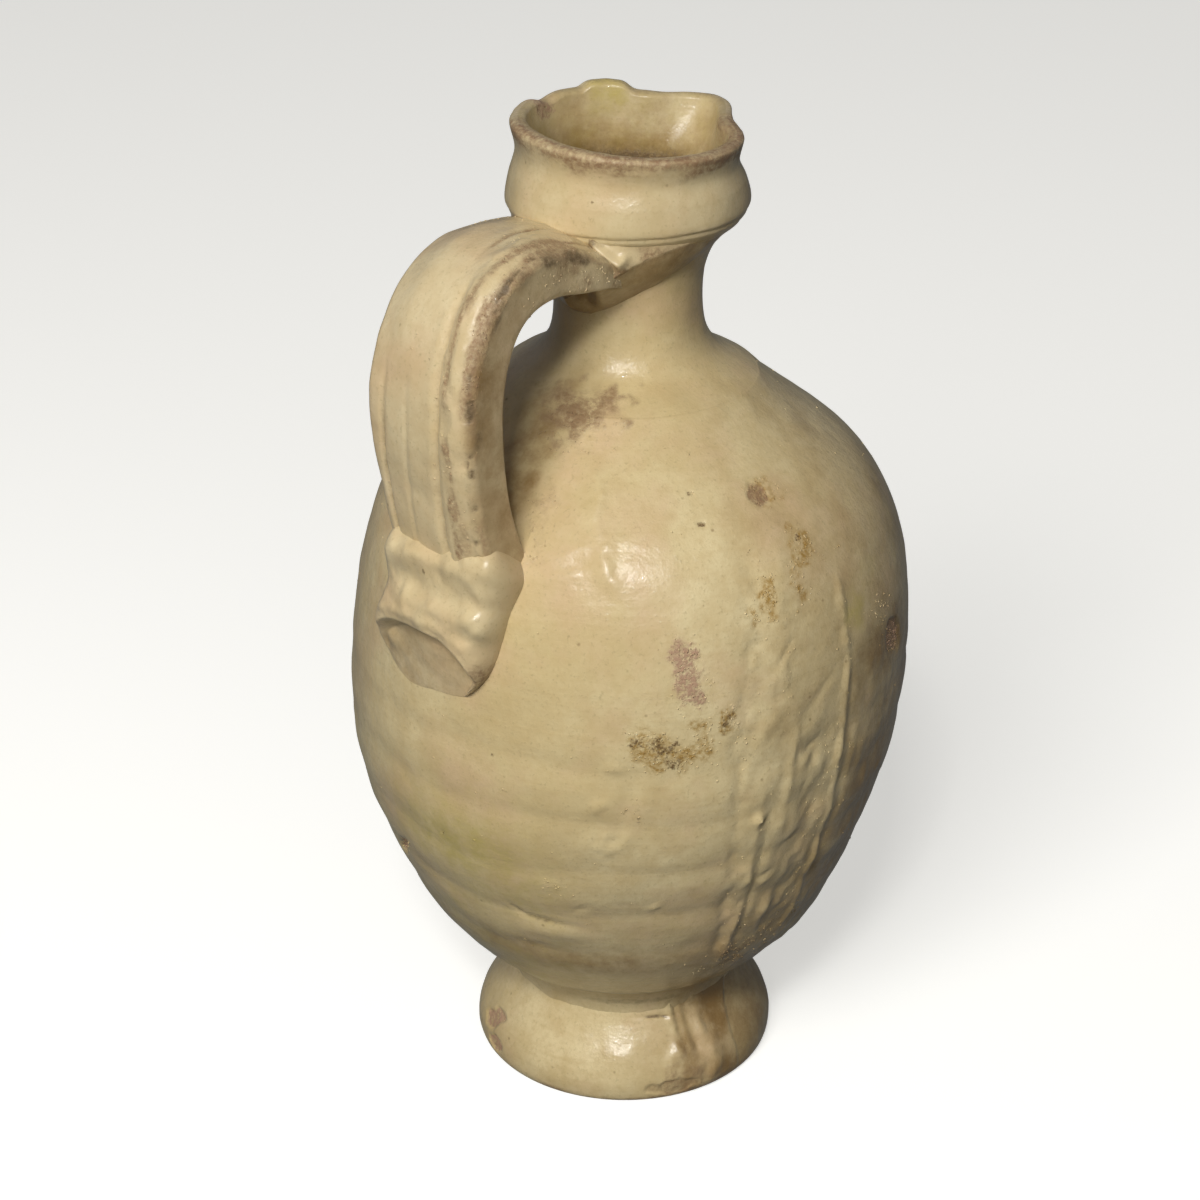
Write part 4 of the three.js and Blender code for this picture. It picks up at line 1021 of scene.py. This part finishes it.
def strap_wall(rows, steps):
    """The strap, bent in one sweep: crowned, grooved by the fingers that pulled it, and worn along its right edge."""
    path = strap_path(rows)
    along = np.gradient(path, axis=0)
    along /= np.linalg.norm(along, axis=1, keepdims=True)
    share = np.linspace(0, 1, rows)[:, None]
    rooted = smooth(0.3, 0, share)
    thickness = STRAP_THICKNESS + (STRAP_END_THICKNESS - STRAP_THICKNESS) * smooth(0.65, 1, share)
    thickness = thickness + (STRAP_ROOT_THICKNESS - thickness) * rooted
    half = STRAP_HALF_WIDTH - STRAP_ROOT_NARROWING * rooted
    side, outward = (part[None, :] for part in strap_section(steps))
    flare = 2.6 * smooth(0.25, 0.1, share) * smooth(0, 0.07, share)
    aside = half * side + flare * smooth(0.3, 1, side)
    tucked = 1 - 0.5 * smooth(0.2, 0.03, share) * (outward < 0)
    out = thickness / 2 * outward * tucked
    face = smooth(0.35, 0.9, outward)
    flank = smooth(0.8, 1, side)
    outer = (outward + 1) / 2
    rough = stacked(aside, 100 * share, out)

    # Its broad bend and crown
    lift = STRAP_CROWN * (1 - side**2) * face + (4 - 1.6 * side**2) * smooth(0.76, 0.94, share) * outer
    lift -= STRAP_ROOT_ROLL * rooted * smooth(0, 1, side) * outer
    lift -= 2.4 * smooth(0.1, 0.25, share) * smooth(0.6, 0.35, share) * smooth(-0.3, -1, side) * outer
    lift += face * (0.4 * lumps(rough * [0.5, 1, 0.5], 9, 80) + 0.12 * lumps(rough, 3, 81))

    # Its grooves, its rib and its pitted edge
    wander = aside + 0.7 * np.sin(9 * share) + 0.6 * lumps(rough, 12, 82)
    lower = smooth(0.5, 0.68, share)
    pulled = smooth(0.3, 0.5, share)
    for middle, width, rise, shown in (
        (LEFT_GROOVE, 0.7, -0.8, lower), (MIDDLE_GROOVE, 0.6, -0.3, lower),
        (RIB_GROOVE, 1.1, -1.1, pulled), (RIB, 3.4, 1.2, smooth(0.1, 0.4, share)),
    ):
        lift += rise * face * shown * hump((wander - middle) / width)
    streaks = lumps(rough * [1, 0.07, 0], 1.5, 86)
    strands = smooth(0.04, 0.16, share) * smooth(2.5, 8, wander + 3.5 * smooth(0.6, 0.2, share))
    lift += face * strands * (0.35 * streaks + 0.3 * lumps(rough, 3.4, 87))
    knotted = hump((wander - RIB + 0.8) / 3.6) * smooth(0.16, 0.3, share) * smooth(0.78, 0.6, share)
    lift += 0.3 * face * knotted * lumps(rough, 1.7, 55)
    edge_line = hump((wander - WORN_EDGE) / 0.8) * smooth(0.1, 0.3, share) * smooth(0, 0.5, outward)
    pits = smooth(0, 0.45, lumps(rough, 1.8, 84))
    lift -= 0.7 * edge_line * pits
    reach = path[:, None, 0] - along[:, None, 1] * (out + lift)
    height = path[:, None, 1] + along[:, None, 0] * (out + lift)
    places = stacked(-reach, -(aside + 0.25 * lumps(rough, 8, 83)), height)

    # Both ends stop inside the clay they are luted to
    deepest = wall_radius(places[..., 2]) - LUTED_DEPTH
    places[..., :2] *= np.maximum(1, deepest / np.hypot(places[..., 0], places[..., 1]))[..., None]
    wall = Wall(np.zeros(places.shape[:2]), places[..., 2], np.ones(places.shape[:2]))
    wall.places = places

    # Dirt and wear, and painted shade on the side and inner faces and in the left groove
    mark = wall.mark
    mark("crease", 1.3 * edge_line * (0.3 + 0.7 * pits))
    mark("wear", face * strands * (0.3 - 1.3 * streaks + 0.5 * lumps(rough, 4, 62)).clip(0, 0.8))
    mark("grime", face * smooth(0.55, 0.2, share) * smooth(-6, 6, wander) * (0.3 - 0.7 * streaks).clip(0, 1))
    mark("wear", 0.4 * face * pulled * hump((wander - RIB_GROOVE + 0.2) / 0.8))
    clouded = (0.9 * lumps(rough, 7, 63) - 0.1).clip(0, 0.7)
    mark("grime", face * clouded * smooth(0.4, 0.1, share))
    # Painted shade in the left groove.
    mark("crease", 0.6 * face * lower * hump((wander - LEFT_GROOVE) / 0.7))
    dirty = flank * smooth(0.4, 0.2, share) * (0.75 + 0.6 * lumps(rough, 5, 85))
    mark("grime", dirty.clip(0, 1))
    upper = smooth(0.1, 0.7, outward) * flank * smooth(0.6, 0.3, share)
    mark("crease", (upper * (0.6 + 0.7 * lumps(rough, 3, 79))).clip(0, 1))
    # Painted shade on the strap's right side face away from its root, and on its inner face towards the body.
    mark("pool", 0.72 * flank * smooth(0.2, 0.4, share) * (0.85 + 0.4 * lumps(rough, 8, 78)))
    mark("pool", 0.6 * smooth(0.2, -0.4, outward) * (1 - flank))
    return wall


handle_strap = thrown("handle_strap", [strap_wall(300, 150)], "capped", HANDLE_GLAZE)
strap_grit = caught(handle_strap, HANDLE_GLAZE, grains=0.6, clean=0.01)


# The thumb-pressed pad and the wad of clay worked round the neck


def sheet_piece(name, face, back, paints, glaze):
    """A closed sheet between its face and its back, both rows of places that run to the right and upwards."""
    rows, columns = face.shape[:2]
    under = rows * columns
    here = np.arange(under).reshape(rows, columns)
    quads = stacked(here[:-1, :-1], here[:-1, 1:], here[1:, 1:], here[1:, :-1]).reshape(-1, 4)
    border = np.concatenate([here[0, :-1], here[:-1, -1], here[-1, :0:-1], here[:0:-1, 0]])
    after = np.roll(border, -1)
    skirt = stacked(after, border, border + under, after + under)
    places = sway(np.concatenate([face.reshape(-1, 3), back.reshape(-1, 3)]))
    doubled = {paint: np.tile(level.ravel(), 2) for paint, level in paints.items()}
    return clay_mesh(name, places, np.concatenate([quads, quads[:, ::-1] + under, skirt]).tolist(), doubled, glaze)


PAD_LOW = 126.5
PAD_HIGH = 167
PAD_THICKNESS = 8
PAD_EDGE = 5.2
PAD_TOP_EDGE = 1.8
THUMB_MIDDLE = -3
THUMB_HALF_WIDTH = 16.5
THUMB_FLOOR = 128
THUMB_RISE = 15.5
THUMB_SQUARENESS = 2.6
LUTED_SINK = 2.5


def pad_piece(columns, rows):
    """The handle's lower end, pressed on in two strokes and hollowed below by the thumb that luted it."""
    across, up = np.meshgrid(np.linspace(-1, 1, columns), np.linspace(-1, 1, rows))
    right = 17 + 4 * up
    left = -17.8 + 0.8 * up
    aside = (left + right) / 2 + (right - left) / 2 * across * (1 - 0.16 * np.abs(up) ** 5)
    height = PAD_LOW + (PAD_HIGH - PAD_LOW) * (up + 1) / 2
    height = height + 0.07 * aside * (1 - up) / 2 - 3 * up * np.where(up > 0, 0.4, 1) * np.abs(across) ** 5
    height = height - 4.5 * smooth(7, 20, aside) * smooth(0.2, 1, up)
    rim = stacked(aside, height, 0)
    aside = aside + 0.9 * across * lumps(rim, 8, 88)
    height = height + up * (1.3 * lumps(rim, 8, 89) + 0.5 * lumps(rim, 3.6, 65))
    wall = Wall(np.degrees(aside / wall_radius(BELLY + 33)), height, wall_radius(height))
    flat = stacked(aside, height, 0)
    to_side = (1 - np.abs(across)) * (right - left) / 2
    to_end = (1 - np.abs(up)) * (PAD_HIGH - PAD_LOW) / 2
    rounded = 1
    for inward in (to_side / PAD_EDGE, to_end / np.where(up > 0, PAD_TOP_EDGE, PAD_EDGE)):
        rounded = rounded * np.sqrt(1 - (1 - np.minimum(1, inward)) ** 2)
    full = PAD_THICKNESS + 1.2 * hump((height - 156.6 - 0.06 * aside) / 2.6)
    full += 1.3 * hump((height - 148.4 + 0.04 * aside) / 2.6) * smooth(-16, -2, aside)
    full -= 2 * smooth(6, 22, aside) * smooth(150, 140, height)
    full += 1.3 * smooth(161.5, 166, height) - 0.7 * hump((height - 161.6 - 0.05 * aside) / 2.2)
    full -= 1.6 * smooth(10, 20, aside) * smooth(162, 152, height)
    full += (2.6 + 1.6 * smooth(3, 12, np.abs(aside))) * smooth(148, 163, height)
    drawn = aside + 0.7 * (134 - height).clip(0) * smooth(-4, 6, aside)
    apart = (np.abs(drawn - THUMB_MIDDLE) / THUMB_HALF_WIDTH) ** THUMB_SQUARENESS
    apart = apart + ((height - THUMB_FLOOR).clip(0) / THUMB_RISE) ** THUMB_SQUARENESS
    apart = apart ** (1 / THUMB_SQUARENESS)
    hollow = smooth(1, 0.86, apart)
    full += 0.9 * hump((apart - 1.12) / 0.1)
    floor_rise = ((height - PAD_LOW) / THUMB_RISE).clip(0, 1)
    pressed = 0.6 + 3.6 * floor_rise**1.3 + 0.9 * hump((aside + 15) / 2.2) * hump((height - 136) / 2.5)
    thickness = full * rounded * (1 - hollow) + np.minimum(pressed, full * rounded) * hollow - 0.5
    uneven = 0.7 * lumps(flat, 8, 90) + 0.5 * lumps(flat, 4.5, 91) + 0.3 * lumps(flat, 3, 67)
    thickness += (uneven + 0.16 * lumps(flat, 1.6, 56)) * rounded * (1 - 0.7 * hollow)

    # Knuckles between the strokes, and the thumb's print on the lobe beside its hollow
    for middle, level, wide, rise in (
        (-4, 157.2, 4, 0.7), (5.5, 156.6, 2.6, 0.6), (15, 158.6, 2, 0.8), (14.2, 153.6, 2, 0.9),
        (18, 153.6, 1.8, 0.7), (11.4, 149, 2, 1), (14.4, 146.4, 1.9, 1), (2, 148.8, 2.6, 0.7),
    ):
        thickness += rise * hump((aside - middle) / wide) * hump((height - level) / 1.7)
    mark, stain = wall.mark, wall.stain
    lobe = smooth(9.5, 13, aside) * smooth(142, 136, height)
    thickness += 0.06 * lobe * np.sin(height * 7 + aside * 1.5)
    # Painted shade in the thumb's hollow, which faces down.
    mark("grime", 0.35 * hollow)
    mark("pool", 0.45 * hollow)
    mark("wear", 0.85 * lobe)
    # Painted shade along the pad's thin left edge, where it meets the wall.
    mark("crease", 0.5 * smooth(0.5, 0, thickness) * smooth(-19, 0, aside))
    stain("crust", -1.1, 154.8, 0.7, 0.7, 1, layer=92)
    stain("grime", -17, 160.5, 9, 3, 0.6, rough=0.6, layer=93)
    stain("moss", -9, 161.5, 8, 2.2, 0.7, rough=0.5, layer=94)
    face, back = (wall.raised(lift, *wall_square(height)) for lift in (thickness, -LUTED_SINK))
    return sheet_piece("handle_pad", face, back, wall.paints, HANDLE_GLAZE)


handle_pad = pad_piece(190, 170)

WAD_BACK_TURN = -84
WAD_FRONT_TURN = 118
WAD_FOOT = 206
WAD_LEDGE = 219.5
WAD_RISE = 9.2
WAD_NOSE_RADIUS = 22
WAD_TOP_RADIUS = 27.2
LEDGE_SHARE = 0.6


def wad_piece(columns, rows):
    """Clay worked round the neck from the strap's root: a ledge under the collar that tails off to the front."""
    turn, share = np.meshgrid(np.linspace(WAD_BACK_TURN, WAD_FRONT_TURN, columns), np.linspace(0, 1, rows))
    away = np.abs(turn)
    ends = smooth(WAD_BACK_TURN, WAD_BACK_TURN + 22, turn) * smooth(WAD_FRONT_TURN, WAD_FRONT_TURN - 22, turn)
    bottom = WAD_FOOT + 0.155 * (away - 12).clip(0) + 1.6 * (1 - ends)
    ledge = WAD_LEDGE + WAD_RISE * (1 - np.exp(-(away - 33).clip(0) / 28)) - 0.26 * (33 - away).clip(0)
    ledge_radius = 26.6 + 3.6 * smooth(46, 24, away) - 1.2 * (1 - ends)
    ledge_radius = WAD_NOSE_RADIUS + (ledge_radius - WAD_NOSE_RADIUS) * smooth(14, 29, away)
    top = COLLAR_FOOT + 2.6
    under = share / LEDGE_SHARE
    over = (share - LEDGE_SHARE) / (1 - LEDGE_SHARE)
    low_radius = wall_radius(bottom) - 0.7
    belly = np.sin(np.pi * under.clip(0, 1))
    radius = np.where(
        under < 1, low_radius + (ledge_radius - low_radius) * under + 0.7 * belly,
        ledge_radius + (WAD_TOP_RADIUS - ledge_radius) * over,
    )
    height = np.where(under < 1, bottom + (ledge - bottom) * under - 0.4 * belly, ledge + (top - ledge) * over)
    wall = Wall(turn, height, radius)
    mark = wall.mark
    crest = hump((share - LEDGE_SHARE) / 0.1)
    rib = height - 226.4 + 0.36 * (turn - 28)
    toe = smooth(20, 26, turn) * smooth(41, 36, turn) * hump(rib / 1.3)
    toe = toe + 0.8 * hump((turn - 39) / 2.6) * hump((height - 224) / 1.3)
    face = wall.raised(1.5 * toe + 0.35 * crest * wall.lumps(6, 95) + 0.16 * wall.lumps(3, 96), 1, 0)
    back = around(wall_radius(height) - LUTED_SINK, turn, height)
    # Painted shade on the ledge's underside, darker still low down near the strap.
    mark("pool", 0.8 * smooth(0.62, 0.56, share))
    mark("grime", 0.5 * smooth(0.35, 0.1, share) * smooth(30, 10, turn))
    mark("wear", 0.45 * crest)
    below = smooth(0.8, -0.6, rib) * (share > 0.57)
    mark("grime", (0.95 + 0.5 * wall.lumps(4, 66)) * below * smooth(50, 40, turn))
    mark("crease", (0.55 + 0.5 * wall.lumps(3, 64)) * below * smooth(42, 26, turn))
    soiled = (0.35 + 0.9 * wall.lumps(5, 47)).clip(0, 0.8)
    mark("wear", soiled * (share > LEDGE_SHARE) * smooth(24, 34, turn) * smooth(90, 60, turn))
    # Painted shade along the wad's top, tucked under the collar.
    mark("crease", 0.8 * smooth(0.9, 0.99, share))
    return sheet_piece("root_wad", face, back, wall.paints, HANDLE_GLAZE)


root_wad = wad_piece(280, 90)


# Each piece rides with the cruet's one body, and the solids the pieces are built round are hidden

FINISHES = {
    "foot_glaze": (foot, foot_coil),
    "body_glaze": (lower_bowl, shoulder_dome, neck, bowl_grit, dome_grit),
    "collar_glaze": (collar,),
    "handle_glaze": (handle_strap, handle_pad, root_wad, strap_grit),
}
for slot, pieces in FINISHES.items():
    for piece in pieces:
        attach(piece, "root")
for piece in (foot, foot_coil, lower_bowl, shoulder_dome, neck, collar, handle_strap, handle_pad, root_wad):
    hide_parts(piece.name.split(".")[0])


# Stage, light and camera

GLAZE_SHOWS = 0.14
PAPER_GLOW = 0.75
FLOOR_HALF = 5


def looked_at(node):
    """One where the camera looks, and so much less in a reflection in the glaze."""
    path = node("ShaderNodeLightPath").outputs
    seen = node(MATH, {0: path["Is Camera Ray"], 1: path["Is Transmission Ray"]}, operation="MAXIMUM")
    gloss = node(MATH, {0: path["Is Glossy Ray"], 1: GLAZE_SHOWS}, operation="MULTIPLY")
    return node(MATH, {0: seen, 1: gloss}, operation="MAXIMUM")


def matt_paper(name, code, bounce):
    """Matt studio paper: seen pale, and giving back to the object only the light of a darker table."""
    paper, node = shader_nodes(name)
    seen = looked_at(node)
    colour = node(MIX, {MIX_SHARE: seen, MIX_FROM: linear(bounce), MIX_TO: linear(code)}, data_type="RGBA")
    lit = node("ShaderNodeBsdfDiffuse", {"Color": colour})
    glow = node(MATH, {0: seen, 1: PAPER_GLOW}, operation="MULTIPLY")
    white = node("ShaderNodeEmission", {0: linear(code), 1: glow})
    node("ShaderNodeOutputMaterial", {0: node("ShaderNodeAddShader", {0: lit, 1: white})})
    return paper


floor_mesh = bpy.data.meshes.new("floor")
corners = [(x * FLOOR_HALF, y * FLOOR_HALF, 0) for x, y in ((-1, -1), (1, -1), (1, 1), (-1, 1))]
floor_mesh.from_pydata(corners, [], [(0, 1, 2, 3)])
floor_mesh.materials.append(matt_paper("pale_studio_paper", "#DEDDD9", "#3F423F"))
floor = bpy.data.objects.new("floor", floor_mesh)
bpy.context.scene.collection.objects.link(floor)

CAMERA_DISTANCE = 0.610
CAMERA_HEIGHT = 0.4347
CAMERA_PITCH = 26.92
CAMERA_YAW = 0.604
LENS_PIXELS = 2751.6
PHOTO_PIXELS = 1200
SENSOR = 36

scene = bpy.context.scene
camera_data = bpy.data.cameras.new("camera")
camera_data.sensor_width = SENSOR
camera_data.lens = LENS_PIXELS * SENSOR / PHOTO_PIXELS
camera = bpy.data.objects.new("camera", camera_data)
camera.location = (*(around(CAMERA_DISTANCE, FRONT_TURN, 0)[:2]), CAMERA_HEIGHT)
camera.rotation_euler = (math.radians(90 - CAMERA_PITCH), 0, math.radians(FRONT_TURN - 90 + CAMERA_YAW))
scene.collection.objects.link(camera)
scene.camera = camera

MIDDLE = np.array([0, 0, 0.125])


def lamp(name, left, elevation, distance, size, power, glints=False):
    """A square lamp, so many degrees left of the camera, aimed at the cruet's middle. It gives light or glints."""
    data = bpy.data.lights.new(name, "AREA")
    data.size = size
    data.energy = power
    lit = bpy.data.objects.new(name, data)
    lit.visible_glossy = glints
    lit.visible_diffuse = not glints
    level = distance * math.cos(math.radians(elevation))
    place = around(level, FRONT_TURN - left, distance * math.sin(math.radians(elevation)))
    lit.location = MIDDLE + place
    lit.rotation_euler = (math.radians(90 - elevation), 0, math.radians(FRONT_TURN - left - 90))
    scene.collection.objects.link(lit)


lamp("key_softbox", left=24, elevation=36, distance=1.5, size=0.6, power=15.2)
lamp("fill_card", left=-14, elevation=24, distance=1.6, size=0.8, power=2.2)
lamp("window", left=6, elevation=42, distance=1.4, size=0.16, power=6)
lamp("window_glints", left=6, elevation=42, distance=1.4, size=0.09, power=14, glints=True)

ROOM_LIGHT = 0.10
BACKDROP_LIGHT = 0.95

world = bpy.data.worlds.new("studio")
scene.world = world
world.use_nodes = True
world.node_tree.nodes.clear()
node = functools.partial(add, world.node_tree)
room = node("ShaderNodeBackground", {0: linear("#E9EAEE"), 1: ROOM_LIGHT})
backdrop = node("ShaderNodeBackground", {0: linear("#F4F3F1"), 1: BACKDROP_LIGHT})
node("ShaderNodeOutputWorld", {0: node("ShaderNodeMixShader", {0: looked_at(node), 1: room, 2: backdrop})})

scene.view_settings.view_transform = "Standard"
